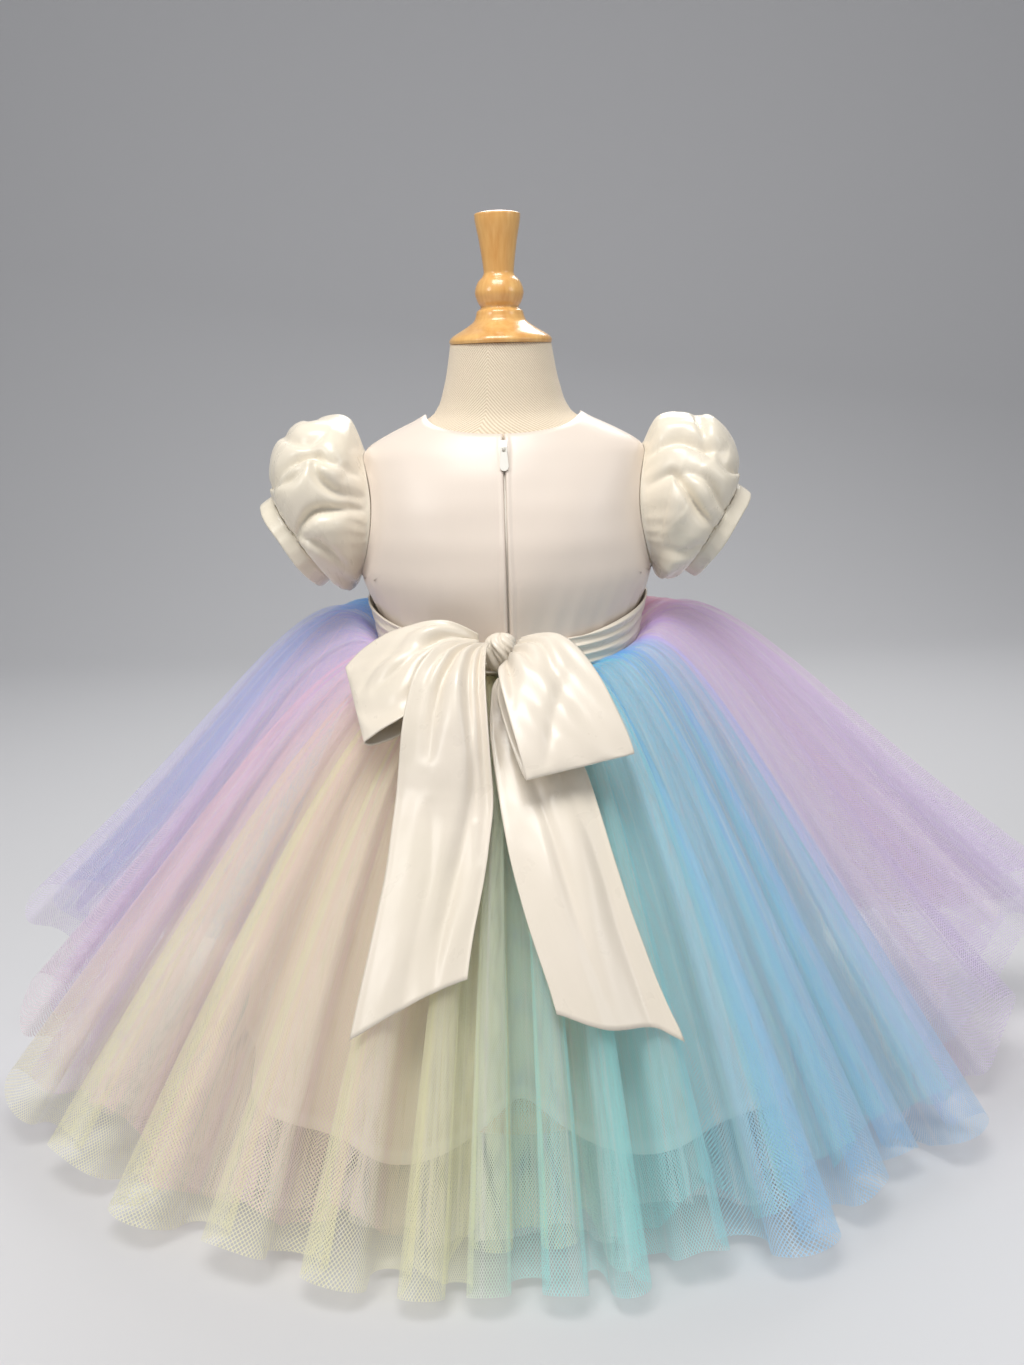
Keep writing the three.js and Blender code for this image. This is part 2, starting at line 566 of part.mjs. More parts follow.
// A tail of the bow on the skirt, cut on the slant between the ends of its two edges
function bowTail(rows, cut) {
  const start = rows[0].down;
  return steps(12).map((run) => steps(5).map((share) => {
    const down = mix(start, mix(cut.left, cut.right, share), run);
    const value = (column) => between(rows, 'down', column, down);
    const [left, right, above] = ['left', 'right', 'above'].map(value);
    return onSkirt(mix(left, right, share), down, above + RIBBON);
  }));
}

function bow() {
  const outLeft = new THREE.Vector3(-0.1, -0.55, 0.83).normalize();
  const outRight = new THREE.Vector3(0.12, -0.5, 0.85).normalize();
  const left = bowLoop(LOOP_LEFT, outLeft).map((line) => line.reverse());
  const right = bowLoop(LOOP_RIGHT, outRight);
  add('bow_loop_left', cloth(left, RIBBON), SATIN_LOOK);
  add('bow_loop_right', cloth(right, RIBBON), SATIN_LOOK);
  add('bow_tail_left', cloth(bowTail(TAIL_LEFT, CUT_LEFT), RIBBON), SATIN_LOOK);
  add('bow_tail_right', cloth(bowTail(TAIL_RIGHT, CUT_RIGHT), RIBBON), SATIN_LOOK);
  const knot = new THREE.SphereGeometry(1, 16, 10);
  const spots = knot.attributes.position;
  for (let k = 0; k < spots.count; k += 1) {
    const [x, y, z] = [spots.getX(k), spots.getY(k), spots.getZ(k)];
    const pinch = 1 + 0.07 * Math.cos(4 * Math.atan2(z, x));
    spots.setXYZ(k, x * KNOT.halfWidth * pinch, z * KNOT.halfDepth, y * KNOT.halfHeight);
  }
  knot.scale(1, -1, 1);
  add('bow_knot', knot, SATIN_LOOK).position.set(KNOT.x, KNOT.y, KNOT.z);
}

// The zip: its tape shows in the slit, and the slider's bail carries the pull tab
function solidFrom(geometry) {
  const bare = geometry.clone();
  bare.deleteAttribute('normal');
  bare.deleteAttribute('uv');
  const merged = mergeVertices(bare, 1e-4);
  const mesh = new wasm.Mesh({
    numProp: 3,
    vertProperties: new Float32Array(merged.attributes.position.array),
    triVerts: new Uint32Array(merged.index.array),
  });
  return new wasm.Manifold(mesh);
}

function geometryFrom(solid) {
  const { vertProperties, triVerts } = solid.getMesh();
  return meshFrom(Array.from(vertProperties), Array.from(triVerts));
}

// A plate drawn in the plane of Y and Z, of the given width along X
function sidePlate(shape, width) {
  const plate = new THREE.ExtrudeGeometry(shape, { depth: width, bevelEnabled: false, curveSegments: 8 });
  plate.translate(0, 0, -width / 2);
  return plate.applyMatrix4(new THREE.Matrix4().makeBasis(
    new THREE.Vector3(0, 1, 0), new THREE.Vector3(0, 0, 1), new THREE.Vector3(1, 0, 0)));
}

function zip() {
  const heights = steps(5).map((down) => mix(ZIP.top, ZIP.low, down));
  const tape = heights.map((z) => steps(2).map((share) => {
    const sideways = mix(-ZIP.halfTape, ZIP.halfTape, share) / between(TORSO, 'z', 'halfWidth', z);
    return torsoPoint(THREE.MathUtils.radToDeg(Math.asin(sideways)), z);
  }));
  add('zip_tape', cloth(moved(tape, -SATIN - ZIP.behind), ZIP.wall), ZIP_LOOK);

  const body = new THREE.Shape();
  const { halfLength: half, thick } = SLIDER;
  body.moveTo(0, -half).lineTo(0, half).lineTo(-thick * 0.6, half)
    .lineTo(-thick, half - SLIDER.nose).lineTo(-thick, -half);
  const eye = new THREE.Shape();
  eye.absarc(0, 0, BAIL.rim, 0, 2 * Math.PI);
  eye.holes.push(new THREE.Path().absarc(0, 0, BAIL.hole, 0, 2 * Math.PI));
  const plate = sidePlate(body, SLIDER.wide).translate(0, BAIL.rim + thick - SLIDER.seat, half - BAIL.rim);
  const ring = sidePlate(eye, BAIL.width);
  const slider = geometryFrom(solidFrom(plate).add(solidFrom(ring)));
  slider.rotateX(-radians(SLIDER_TILT)).translate(BAIL.x, BAIL.y, BAIL.z);
  add('zip_slider', slider, ZIP_LOOK);

  const tab = new THREE.Shape();
  const [bulb, side] = [PULL.wide / 2, PULL.top / 2];
  tab.moveTo(-side, 0.5).lineTo(side, 0.5).lineTo(side, -PULL.neck).lineTo(bulb, bulb - PULL.length);
  tab.absarc(0, bulb - PULL.length, bulb, 0, -Math.PI, true);
  tab.lineTo(-side, -PULL.neck);
  const window = new THREE.Path();
  const { side: open, top, low } = PULL_WINDOW;
  window.moveTo(-open, top).lineTo(-open, low).lineTo(open, low).lineTo(open, top);
  tab.holes.push(window);
  const pull = new THREE.ExtrudeGeometry(tab, { depth: PULL.thick, bevelEnabled: false, curveSegments: 8 });
  pull.translate(0, 0, -PULL.thick / 2).rotateX(Math.PI / 2 - radians(PULL_TILT));
  pull.translate(BAIL.x, BAIL.y, BAIL.z);
  add('zip_pull', pull, ZIP_LOOK);
}

dressForm();
bodice();
sash();
lining();
tulle();
sleeves();
bow();
zip();

export default model;
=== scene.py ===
import math

import bpy
import numpy as np
from mathutils import Matrix, Vector


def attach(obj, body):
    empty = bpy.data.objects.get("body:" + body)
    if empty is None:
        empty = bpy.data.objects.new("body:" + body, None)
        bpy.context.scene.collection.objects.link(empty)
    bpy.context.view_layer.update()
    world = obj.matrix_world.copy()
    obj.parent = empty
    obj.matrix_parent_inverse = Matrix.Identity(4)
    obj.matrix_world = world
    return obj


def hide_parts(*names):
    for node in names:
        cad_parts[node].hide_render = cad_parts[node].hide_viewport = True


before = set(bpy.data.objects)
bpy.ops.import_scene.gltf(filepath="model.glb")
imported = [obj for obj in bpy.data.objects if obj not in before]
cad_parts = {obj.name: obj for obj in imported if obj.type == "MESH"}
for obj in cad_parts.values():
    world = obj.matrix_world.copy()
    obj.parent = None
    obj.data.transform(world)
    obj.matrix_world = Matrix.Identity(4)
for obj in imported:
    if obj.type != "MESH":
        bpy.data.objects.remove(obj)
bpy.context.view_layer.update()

MM = 0.001

# Shapes that the solids have too, in millimetres and degrees. Only the knot and the hem's height at the two
# flutes of azimuth 90 and 106 differ a little, for likeness. An azimuth is counted from the middle of the
# back towards +X, and a place on the skirt in flutes from there and in shares of the way down.
WAIST_HALF_WIDTH = 91.2
WAIST_HALF_DEPTH = 70.4
FLUTE_COUNT = 28
HEM_CLEARANCE = 7
SEAM = 0.4
ARMHOLE = {"low": 381, "high": 467, "cut": 25}
SHOULDER = 490

TORSO = {
    "z": [300, 340, 354, 368, 381, 405, 430, 450, 467, 481, 490],
    "half_width": [89, 89.3, 92, 98, 102.5, 102, 100.5, 99.5, 98, 72, 50],
    "half_depth": [69, 69.3, 71, 73.5, 75.5, 75.5, 70, 62, 53, 44, 38.5],
}
FORM = {
    "z": [225, 233, 262, 300, 345, 368, 381, 405, 430, 450, 464.3, 478.8, 487.8, 498, 515, 535.7],
    "half_width": [80, 85, 86, 84, 83, 94, 98, 97.6, 96.4, 95.2, 93.8, 70.5, 48.6, 42.5, 38, 34.5],
    "half_depth": [62, 66, 67, 64, 63, 69.5, 71, 71, 65.6, 57.2, 49.6, 42.3, 36.7, 35, 33.8, 33],
}
# Each fold of the skirt: azimuth at the waist, azimuth at the hem, reach of the hem, height of the hem
FLUTES = np.array([
    (4, 4.5, 292, 13), (11, 11.5, 295, 10), (18, 20.5, 282, 20), (26, 32, 308, 14),
    (40, 46, 296, 20), (51, 55, 302, 24), (62, 64, 328, 18), (78, 84, 345, 30),
    (90, 100, 434, 108), (106, 116, 362, 66), (123, 131, 326, 40), (143, 146, 312, 26),
    (158, 160, 306, 18), (173, 173, 302, 14), (187, 187, 302, 16), (202, 200, 306, 20),
    (217, 214, 314, 26), (232, 228, 326, 38), (247, 243, 340, 76), (266, 258, 384, 118),
    (290, 270, 372, 64), (311, 281, 364, 22), (324, 297, 332, 22), (333, 311, 320, 14),
    (340, 325, 304, 20), (346, 338.5, 298, 12), (351.5, 348.5, 294, 10), (356.5, 355.5, 290, 12),
], float)
WAIST_COLUMN, HEM_COLUMN, REACH_COLUMN, LIFT_COLUMN = range(4)
# Each panel of the outer skirt: where it starts at the waist and at the hem, in flutes, and its colour
GORES = [
    (0, -0.4, "aqua"), (3.4, 3, "blue"), (6, 6.9, "lilac"), (8.6, 9, "pink"), (11.2, 11.2, "yellow"),
    (14, 14, "aqua"), (16.4, 16.4, "blue"), (19.6, 18.9, "lilac"), (21.2, 20.4, "pink"), (23.4, 21, "yellow"),
]
PUFF = {
    "top_x": [99, 105, 119, 140, 156, 162, 160],
    "top_z": [467, 484, 490, 488, 471, 451, 437],
    "low_x": [103, 105, 109, 113, 117, 120, 122],
    "low_z": [381, 377, 374.5, 374, 374.5, 376, 381],
    "half_depth": [27, 38, 46, 48, 45, 39, 33],
}
CUFF = {"radius": 34.4, "width": 12, "wall": 2.2}
# The bow's loops from the knot to the fold: upper or inner edge, the other edge, loft
LOOP_LEFT = [
    ((-17.4, -84, 345), (-17.8, -91, 327), 4), ((-42, -84, 352), (-42, -116, 319), 11),
    ((-74, -77, 347), (-66, -136, 303), 11), ((-96, -78, 337), (-84, -139, 295), 8),
    ((-107, -82, 330), (-91, -139, 293), 6),
]
LOOP_RIGHT = [
    ((5.4, -90.6, 344), (-3, -96.4, 330), 4), ((31, -106, 345), (-8, -128, 327), 10),
    ((52, -127, 327), (-3, -152, 308), 10), ((66, -147, 304), (3, -168, 290), 8),
    ((74, -158, 287), (8, -178, 278), 5),
]
# The bow's tails: share of the way down, left edge and right edge in flutes, air below
TAIL_LEFT = [
    (0.12, -2.05, -1.05, 25.5), (0.20, -2.95, -0.98, 33), (0.28, -3.12, -0.85, 33), (0.38, -3.02, -0.64, 24),
    (0.50, -2.88, -0.44, 5), (0.60, -2.75, -0.62, 0.45), (0.69, -2.72, -0.94, 0.45),
    (0.80, -2.72, -1.10, 0.45),
]
TAIL_RIGHT = [
    (0.12, -0.50, 0.50, 0.7), (0.22, -0.78, 1.25, 0.7), (0.34, -0.72, 1.72, 0.7), (0.46, -0.40, 2.05, 0.7),
    (0.58, -0.10, 2.20, 0.7), (0.67, 0.20, 2.36, 0.7), (0.76, 0.58, 2.64, 0.7), (0.82, 0.80, 2.86, 0.7),
]
CUT_LEFT = (0.795, 0.725)
CUT_RIGHT = (0.765, 0.815)
KNOT = {"place": (-5.5, -84.4, 337.5), "half": (12.0, 11, 13)}
CAP = {
    "z": [536, 538.5, 541.5, 546, 550.5, 554, 557.5, 560, 564, 570, 576.5, 581, 586, 603, 618, 621.5, 623.2],
    "radius": [34.6, 35, 32.5, 25, 18.5, 16.6, 15.6, 13, 15, 16.6, 14.6, 10.8, 10.5, 12.8, 15.4, 13.5, 0],
}

# Colours, as sRGB
IVORY = (232, 219, 206)
# The net's colours: gathered close at the waist, and spread out at the hem
TULLE_COLOURS = {
    "aqua": ((116, 230, 238), (192, 246, 246)),
    "blue": ((116, 194, 255), (182, 223, 255)),
    "lilac": ((230, 202, 252), (238, 224, 252)),
    "pink": ((254, 206, 222), (254, 228, 235)),
    "yellow": ((250, 243, 190), (252, 250, 216)),
    "blush": ((254, 242, 240), (254, 248, 248)),
}
# The panels between the outer ones and the innermost layer, as in GORES
MIDDLE_GORES = [
    (-2.2, -2, "yellow"), (1.4, 1.2, "aqua"), (6.4, 7.4, "lilac"), (9.5, 9.8, "pink"), (13, 13, "yellow"),
    (16.5, 16.5, "blue"), (20.2, 19.6, "lilac"), (22.4, 21.6, "pink"),
]


def linear(colour):
    """An sRGB colour of three numbers up to 255, as linear RGB with alpha."""
    shares = [value / 255 for value in colour]
    return tuple(s / 12.92 if s <= 0.04045 else ((s + 0.055) / 1.055) ** 2.4 for s in shares) + (1,)


def linked(name, data):
    """A new object in the scene."""
    made = bpy.data.objects.new(name, data)
    bpy.context.scene.collection.objects.link(made)
    return made


# Camera and studio
def camera():
    lens = bpy.data.cameras.new("photo_camera")
    lens.lens = 36.92
    lens.sensor_width = 36
    lens.clip_start = 0.01
    lens.shift_x = 1.7 / 1365
    holder = linked("photo_camera", lens)
    place = Matrix.Translation((0, -0.983, 0.505))
    pitch = Matrix.Rotation(math.radians(90 - 11.8), 4, "X")
    roll = Matrix.Rotation(math.radians(-1.62), 4, "Z")
    holder.matrix_world = place @ pitch @ roll
    bpy.context.scene.camera = holder


def area_light(name, place, aim, size, watts, colour):
    lamp = bpy.data.lights.new(name, "AREA")
    lamp.shape = "RECTANGLE"
    lamp.size, lamp.size_y = size
    lamp.energy = watts
    lamp.color = colour
    holder = linked(name, lamp)
    holder.location = place
    holder.rotation_euler = (Vector(aim) - Vector(place)).to_track_quat("-Z", "Y").to_euler()


def studio():
    area_light("overhead", (-0.15, -0.75, 1.95), (0, -0.05, 0.25), (1.1, 0.8), 29.5, (1, 0.985, 0.965))
    area_light("key_left", (-1.6, -1.3, 1.3), (0, 0, 0.3), (0.6, 0.8), 9.5, (1, 0.98, 0.95))
    area_light("fill_right", (1.7, -1.0, 1.1), (0, 0, 0.3), (0.7, 0.9), 5, (0.98, 0.99, 1))
    area_light("far_side", (0.3, 1.5, 1.7), (0, 0, 0.3), (1.2, 0.8), 17, (1, 1, 1))
    world = bpy.data.worlds.new("studio_air")
    world.use_nodes = True
    background = world.node_tree.nodes["Background"]
    background.inputs["Color"].default_value = (0.8, 0.82, 0.86, 1)
    background.inputs["Strength"].default_value = 0.3
    bpy.context.scene.world = world
    radius, far, side = 0.9, 2.6, 4.0
    turns = [math.radians(90 * k / 16) for k in range(17)]
    profile = [(-3.0, 0.0), (far - radius, 0.0)]
    profile += [(far - radius + radius * math.sin(t), radius - radius * math.cos(t)) for t in turns[1:]]
    profile += [(far, 4.0)]
    points = [(x, y, z) for y, z in profile for x in (-side, side)]
    faces = [(2 * k, 2 * k + 1, 2 * k + 3, 2 * k + 2) for k in range(len(profile) - 1)]
    mesh = bpy.data.meshes.new("studio_floor")
    mesh.from_pydata(points, [], faces)
    mesh.shade_smooth()
    floor = linked("studio_floor", mesh)
    mesh.materials.append(Look("floor_paper", (206, 206, 208), roughness=0.9).material)


# Materials
class Look:
    """A material with one Principled shader, and the means to wire nodes to it."""

    def __init__(self, name, colour, **sockets):
        self.material = bpy.data.materials.new(name)
        self.material.use_nodes = True
        self.tree = self.material.node_tree
        self.shader = self.tree.nodes["Principled BSDF"]
        self.shader.inputs["Base Color"].default_value = linear(colour)
        for socket, value in sockets.items():
            self.shader.inputs[socket.replace("_", " ").title().replace("Ior", "IOR")].default_value = value

    def node(self, kind, **settings):
        made = self.tree.nodes.new(kind)
        for key, value in settings.items():
            setattr(made, key, value)
        return made

    def wire(self, source, target):
        self.tree.links.new(source, target)

    def math(self, operation, first, second=None):
        made = self.node("ShaderNodeMath", operation=operation)
        for index, value in enumerate((first, second)):
            if isinstance(value, bpy.types.NodeSocket):
                self.wire(value, made.inputs[index])
            elif value is not None:
                made.inputs[index].default_value = value
        return made.outputs[0]

    def noise(self, vector, scale, detail=2.0, stretch=(1, 1, 1)):
        mapping = self.node("ShaderNodeMapping")
        mapping.inputs["Scale"].default_value = stretch
        made = self.node("ShaderNodeTexNoise")
        made.inputs["Scale"].default_value = scale
        made.inputs["Detail"].default_value = detail
        self.wire(vector, mapping.inputs["Vector"])
        self.wire(mapping.outputs[0], made.inputs["Vector"])
        return made.outputs["Fac"]

    def uv(self):
        return self.node("ShaderNodeTexCoord").outputs["UV"]

    def place(self):
        return self.node("ShaderNodeTexCoord").outputs["Object"]

    def attribute(self, name):
        return self.node("ShaderNodeAttribute", attribute_name=name).outputs["Fac"]

    def tint(self, factor, low, high):
        ramp = self.node("ShaderNodeMix", data_type="RGBA")
        self.wire(factor, ramp.inputs["Factor"])
        ramp.inputs["A"].default_value = linear(low)
        ramp.inputs["B"].default_value = linear(high)
        self.wire(ramp.outputs["Result"], self.shader.inputs["Base Color"])

    def spread(self, factor, low, high, socket):
        made = self.node("ShaderNodeMapRange")
        self.wire(factor, made.inputs["Value"])
        made.inputs["To Min"].default_value = low
        made.inputs["To Max"].default_value = high
        self.wire(made.outputs["Result"], self.shader.inputs[socket])

    def bump(self, height, distance, strength=1.0):
        made = self.node("ShaderNodeBump")
        made.inputs["Distance"].default_value = distance
        made.inputs["Strength"].default_value = strength
        self.wire(height, made.inputs["Height"])
        before = self.shader.inputs["Normal"]
        if before.is_linked:
            self.wire(before.links[0].from_socket, made.inputs["Normal"])
        self.wire(made.outputs["Normal"], self.shader.inputs["Normal"])


def satin(name, colour, shade, roughness, wrinkle):
    """Satin: a sheen from fine floats across the cloth, with faint wear and soft creases."""
    look = Look(name, colour, roughness=roughness, specular_ior_level=0.55)
    look.shader.inputs["Sheen Weight"].default_value = 0.12
    look.shader.inputs["Sheen Roughness"].default_value = 0.4
    look.tint(look.noise(look.place(), 14, 3), shade, colour)
    look.spread(look.noise(look.uv(), 55, 4), roughness - 0.07, roughness + 0.08, "Roughness")
    look.bump(look.noise(look.uv(), 30, 2, (1, 0.55, 1)), 0.003 * wrinkle, 0.6)
    look.bump(look.noise(look.uv(), 900, 1, (1, 0.12, 1)), 0.00006, 0.6)
    return look.material


def twill(name):
    """Twill with diagonal ribs that meet at the seam, where the map's first number is 0."""
    look = Look(name, (226, 208, 182), roughness=0.92)
    look.shader.inputs["Sheen Weight"].default_value = 0.25
    split = look.node("ShaderNodeSeparateXYZ")
    look.wire(look.uv(), split.inputs[0])
    side = look.math("ABSOLUTE", split.outputs["X"])
    diagonal = look.math("ADD", side, look.math("MULTIPLY", split.outputs["Y"], 0.8))
    rib = look.math("PINGPONG", look.math("MULTIPLY", diagonal, 1000 / 1.9), 0.5)
    fuzz = look.noise(look.uv(), 1400, 2)
    height = look.math("ADD", look.math("MULTIPLY", rib, 1.6), look.math("MULTIPLY", fuzz, 0.5))
    # Painted shade: the low parts of the ribs are coloured darker, following the same height as the bump. The
    # fuzz adds a random fibre tone.
    look.tint(height, (196, 174, 144), (240, 226, 203))
    look.bump(height, 0.0004, 0.8)
    return look.material


def wood(name):
    look = Look(name, (222, 165, 90), roughness=0.3)
    look.shader.inputs["Coat Weight"].default_value = 0.6
    look.shader.inputs["Coat Roughness"].default_value = 0.12
    grain = look.noise(look.place(), 60, 6, (1, 1, 0.07))
    rings = look.noise(look.place(), 420, 2, (1, 1, 0.05))
    both = look.math("ADD", look.math("MULTIPLY", grain, 0.7), look.math("MULTIPLY", rings, 0.3))
    made = look.node("ShaderNodeMapRange")
    look.wire(both, made.inputs["Value"])
    made.inputs["From Min"].default_value = 0.3
    made.inputs["From Max"].default_value = 0.7
    look.tint(made.outputs["Result"], (208, 146, 74), (240, 194, 122))
    look.bump(rings, 0.0001, 0.4)
    return look.material


def tulle(name, thread):
    """A fine net. A piece's tint attribute gives its colour, which holds painted highlight along the creases,
    and its density attribute widens the threads, as where the net is folded or many folds lie together."""
    look = Look(name, (240, 236, 240), roughness=0.45, specular_ior_level=0.4)
    look.shader.inputs["Sheen Weight"].default_value = 0.3
    look.shader.inputs["Sheen Roughness"].default_value = 0.5
    tint = look.node("ShaderNodeAttribute", attribute_name="tint").outputs["Color"]
    look.wire(tint, look.shader.inputs["Base Color"])
    split = look.node("ShaderNodeSeparateXYZ")
    look.wire(look.uv(), split.inputs[0])
    across = look.math("DIVIDE", split.outputs["X"], NET_CELL * MM)
    down = look.math("DIVIDE", split.outputs["Y"], NET_CELL * 1.15 * MM)
    width = look.math("MULTIPLY", look.math("ADD", look.attribute("density"), thread), 0.5)
    lines = []
    for operation in ("ADD", "SUBTRACT"):
        wave = look.math("PINGPONG", look.math(operation, across, down), 0.5)
        lines.append(look.math("LESS_THAN", wave, width))
    net = look.math("MAXIMUM", *lines)
    look.wire(net, look.shader.inputs["Alpha"])
    back = look.node("ShaderNodeBsdfTranslucent")
    look.wire(tint, back.inputs["Color"])
    clear = look.node("ShaderNodeBsdfTransparent")
    thin = look.node("ShaderNodeMixShader")
    look.wire(net, thin.inputs["Fac"])
    look.wire(clear.outputs[0], thin.inputs[1])
    look.wire(back.outputs[0], thin.inputs[2])
    both = look.node("ShaderNodeMixShader")
    both.inputs["Fac"].default_value = 0.3
    look.wire(look.shader.outputs[0], both.inputs[1])
    look.wire(thin.outputs[0], both.inputs[2])
    look.wire(both.outputs[0], look.tree.nodes["Material Output"].inputs["Surface"])
    return look.material


# Meshes from grids. Rows run down the cloth and columns across it, so that down x across points out.
def steps(count):
    return np.linspace(0, 1, count + 1)


def ring_angles(count):
    return (np.arange(count) / count * 2 * np.pi)[None, :]


def mix(low, high, share):
    return low + (high - low) * share


def unit(vectors):
    return vectors / np.maximum(np.linalg.norm(vectors, axis=-1, keepdims=True), 1e-9)


def normals(points, ring=False):
    down = np.empty_like(points)
    down[1:-1] = points[2:] - points[:-2]
    down[0], down[-1] = points[1] - points[0], points[-1] - points[-2]
    across = np.roll(points, -1, 1) - np.roll(points, 1, 1)
    if not ring:
        across[:, 0] = points[:, 1] - points[:, 0]
        across[:, -1] = points[:, -1] - points[:, -2]
    return unit(np.cross(down, across))


def grid_piece(name, points, look, spread, ring=False, wall=0.0, marks=None):
    """A piece from a grid of points in mm. spread is the map's place of each point, in mm, with one more
    column for a ring. With a wall it is a closed shell whose outer face is the grid."""
    rows, columns = points.shape[:2]
    cells = columns if ring else columns - 1
    i, j = np.meshgrid(np.arange(rows - 1), np.arange(cells), indexing="ij")
    i, j = i.ravel(), j.ravel()
    next_j = (j + 1) % columns
    upper, lower = i * columns, (i + 1) * columns
    outer = np.stack([upper + j, lower + j, lower + next_j, upper + next_j], 1)
    corners = np.stack([spread[i, j], spread[i + 1, j], spread[i + 1, j + 1], spread[i, j + 1]], 1)
    quads, maps = [outer], [corners]
    vertices = points.reshape(-1, 3)
    if wall:
        inner = points - normals(points, ring) * wall
        vertices = np.concatenate([vertices, inner.reshape(-1, 3)])
        shift = rows * columns
        quads.append(outer[:, ::-1] + shift)
        maps.append(corners[:, ::-1])
        for row, order in ((0, 1), (rows - 1, -1)):
            a = row * columns + np.arange(cells)
            b = row * columns + (np.arange(cells) + 1) % columns
            quads.append(np.stack([a, b, b + shift, a + shift][::order], 1))
            edge = [spread[row, :cells], spread[row, 1:cells + 1]]
            maps.append(np.stack([edge[0], edge[1], edge[1], edge[0]][::order], 1))
        if not ring:
            for column, order in ((0, -1), (columns - 1, 1)):
                a = np.arange(rows - 1) * columns + column
                b = a + columns
                quads.append(np.stack([a, b, b + shift, a + shift][::order], 1))
                edge = [spread[:-1, column], spread[1:, column]]
                maps.append(np.stack([edge[0], edge[1], edge[1], edge[0]][::order], 1))
    quads, maps = np.concatenate(quads), np.concatenate(maps)
    mesh = bpy.data.meshes.new(name)
    mesh.from_pydata((vertices * MM).tolist(), [], quads.tolist())
    layer = mesh.uv_layers.new(name="spread")
    layer.data.foreach_set("uv", (maps * MM).astype(np.float32).ravel())
    for key, values in (marks or {}).items():
        colour = values.ndim == 3
        attribute = mesh.attributes.new(key, "FLOAT_COLOR" if colour else "FLOAT", "POINT")
        flat = np.tile(values.reshape(rows * columns, -1), (2 if wall else 1, 1)).ravel()
        attribute.data.foreach_set("color" if colour else "value", flat.astype(np.float32))
    mesh.shade_smooth()
    mesh.materials.append(look)
    piece = linked(name, mesh)
    return piece


def spread_over(across, down):
    """A map for a grid, from the columns' places across the cloth and the rows' places down it, in mm."""
    return np.stack(np.broadcast_arrays(across, down), -1)


def settle(piece, slot, *nodes, body="dress"):
    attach(piece, body)
    if nodes:
        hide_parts(*nodes)
    return piece


def wander(places, period, seed, waves=(2, 3, 5, 7)):
    """A smooth wave without a plain rhythm, from about -1 to 1, that repeats after period."""
    turn = 2 * np.pi * np.asarray(places) / period
    total = 0
    for index, wave in enumerate(waves):
        total = total + np.sin(wave * turn + seed * (1.7 + 2.3 * index)) / len(waves) * 1.5
    return total


def smooth_between(table, column, z, reach=5):
    """A column's value at height z, with the table's corners rounded off."""
    shifts = (-reach, -reach / 2, 0, reach / 2, reach)
    return sum(np.interp(z + shift, table["z"], table[column]) for shift in shifts) / len(shifts)


def catmull(a, b, c, d, t):
    return 0.5 * (
        2 * b + (c - a) * t + (2 * a - 5 * b + 4 * c - d) * t ** 2 + (3 * b - a - 3 * c + d) * t ** 3)


def along(values, place):
    """A smooth curve through the values, for places from 0 to 1."""
    values = np.asarray(values, float)
    at = np.clip(place, 0, 1) * (len(values) - 1)
    row = np.minimum(np.floor(at).astype(int), len(values) - 2)
    picked = [values[np.clip(row + k, 0, len(values) - 1)] for k in (-1, 0, 1, 2)]
    return catmull(*picked, at - row)


# The skirt
def round_about(back, side, front, turn):
    even = (back + front) / 2
    return (even + side) / 2 + (back - front) / 2 * np.cos(turn) + (even - side) / 2 * np.cos(2 * turn)


def waist_height(azimuth):
    turn = np.radians(azimuth)
    return 333.8 - 13.5 * np.cos(turn) - 1.3 * np.cos(2 * turn)


def sash_top(azimuth):
    turn = np.radians(azimuth)
    return 359.8 - 17.5 * np.cos(turn) - 3.3 * np.cos(2 * turn)


def flute_value(column, flute):
    at = np.asarray(flute, float) - 0.5
    row = np.floor(at).astype(int)
    picked = []
    for k in (-1, 0, 1, 2):
        turns = (row + k) // FLUTE_COUNT
        full = 360 * turns if column in (WAIST_COLUMN, HEM_COLUMN) else 0
        picked.append(FLUTES[(row + k) % FLUTE_COUNT, column] + full)
    return catmull(*picked, at - row)


def skirt_base(flute, down, depth, drawn_in):
    """The middle face of a skirt layer, before its folds."""
    flute, down = np.broadcast_arrays(np.asarray(flute, float), np.asarray(down, float))
    leave = np.radians(flute_value(WAIST_COLUMN, flute))
    arrive = np.radians(flute_value(HEM_COLUMN, flute))
    reach = flute_value(REACH_COLUMN, flute) - drawn_in
    waist = np.stack([
        (WAIST_HALF_WIDTH - depth) * np.sin(leave),
        -(WAIST_HALF_DEPTH - depth) * np.cos(leave),
        waist_height(np.degrees(leave)) - depth,
    ], -1)
    hem = np.stack([reach * np.sin(arrive), -reach * np.cos(arrive), flute_value(LIFT_COLUMN, flute)], -1)
    control = mix(waist, hem, 0.3)
    control[..., 2] += round_about(112, 40, 105, leave)
    share = down[..., None]
    points = waist * (1 - share) ** 2 + control * 2 * share * (1 - share) + hem * share ** 2
    points[..., 2] += round_about(0, 84, 44, leave) * 4 * down * (1 - down) ** 3
    return points


def skirt_normal(flute, down, depth, drawn_in):
    low, high = np.maximum(down - 0.002, 0), np.minimum(down + 0.002, 1)
    slope = skirt_base(flute, high, depth, drawn_in) - skirt_base(flute, low, depth, drawn_in)
    across = skirt_base(flute + 0.02, down, depth, drawn_in) - skirt_base(flute - 0.02, down, depth, drawn_in)
    return unit(np.cross(slope, across))


def skirt_place(flute, down, out, depth=0.0, drawn_in=0.0):
    points = skirt_base(flute, down, depth, drawn_in)
    points = points + skirt_normal(flute, down, depth, drawn_in) * np.asarray(out)[..., None]
    points[..., 2] = np.maximum(points[..., 2], HEM_CLEARANCE)
    return points


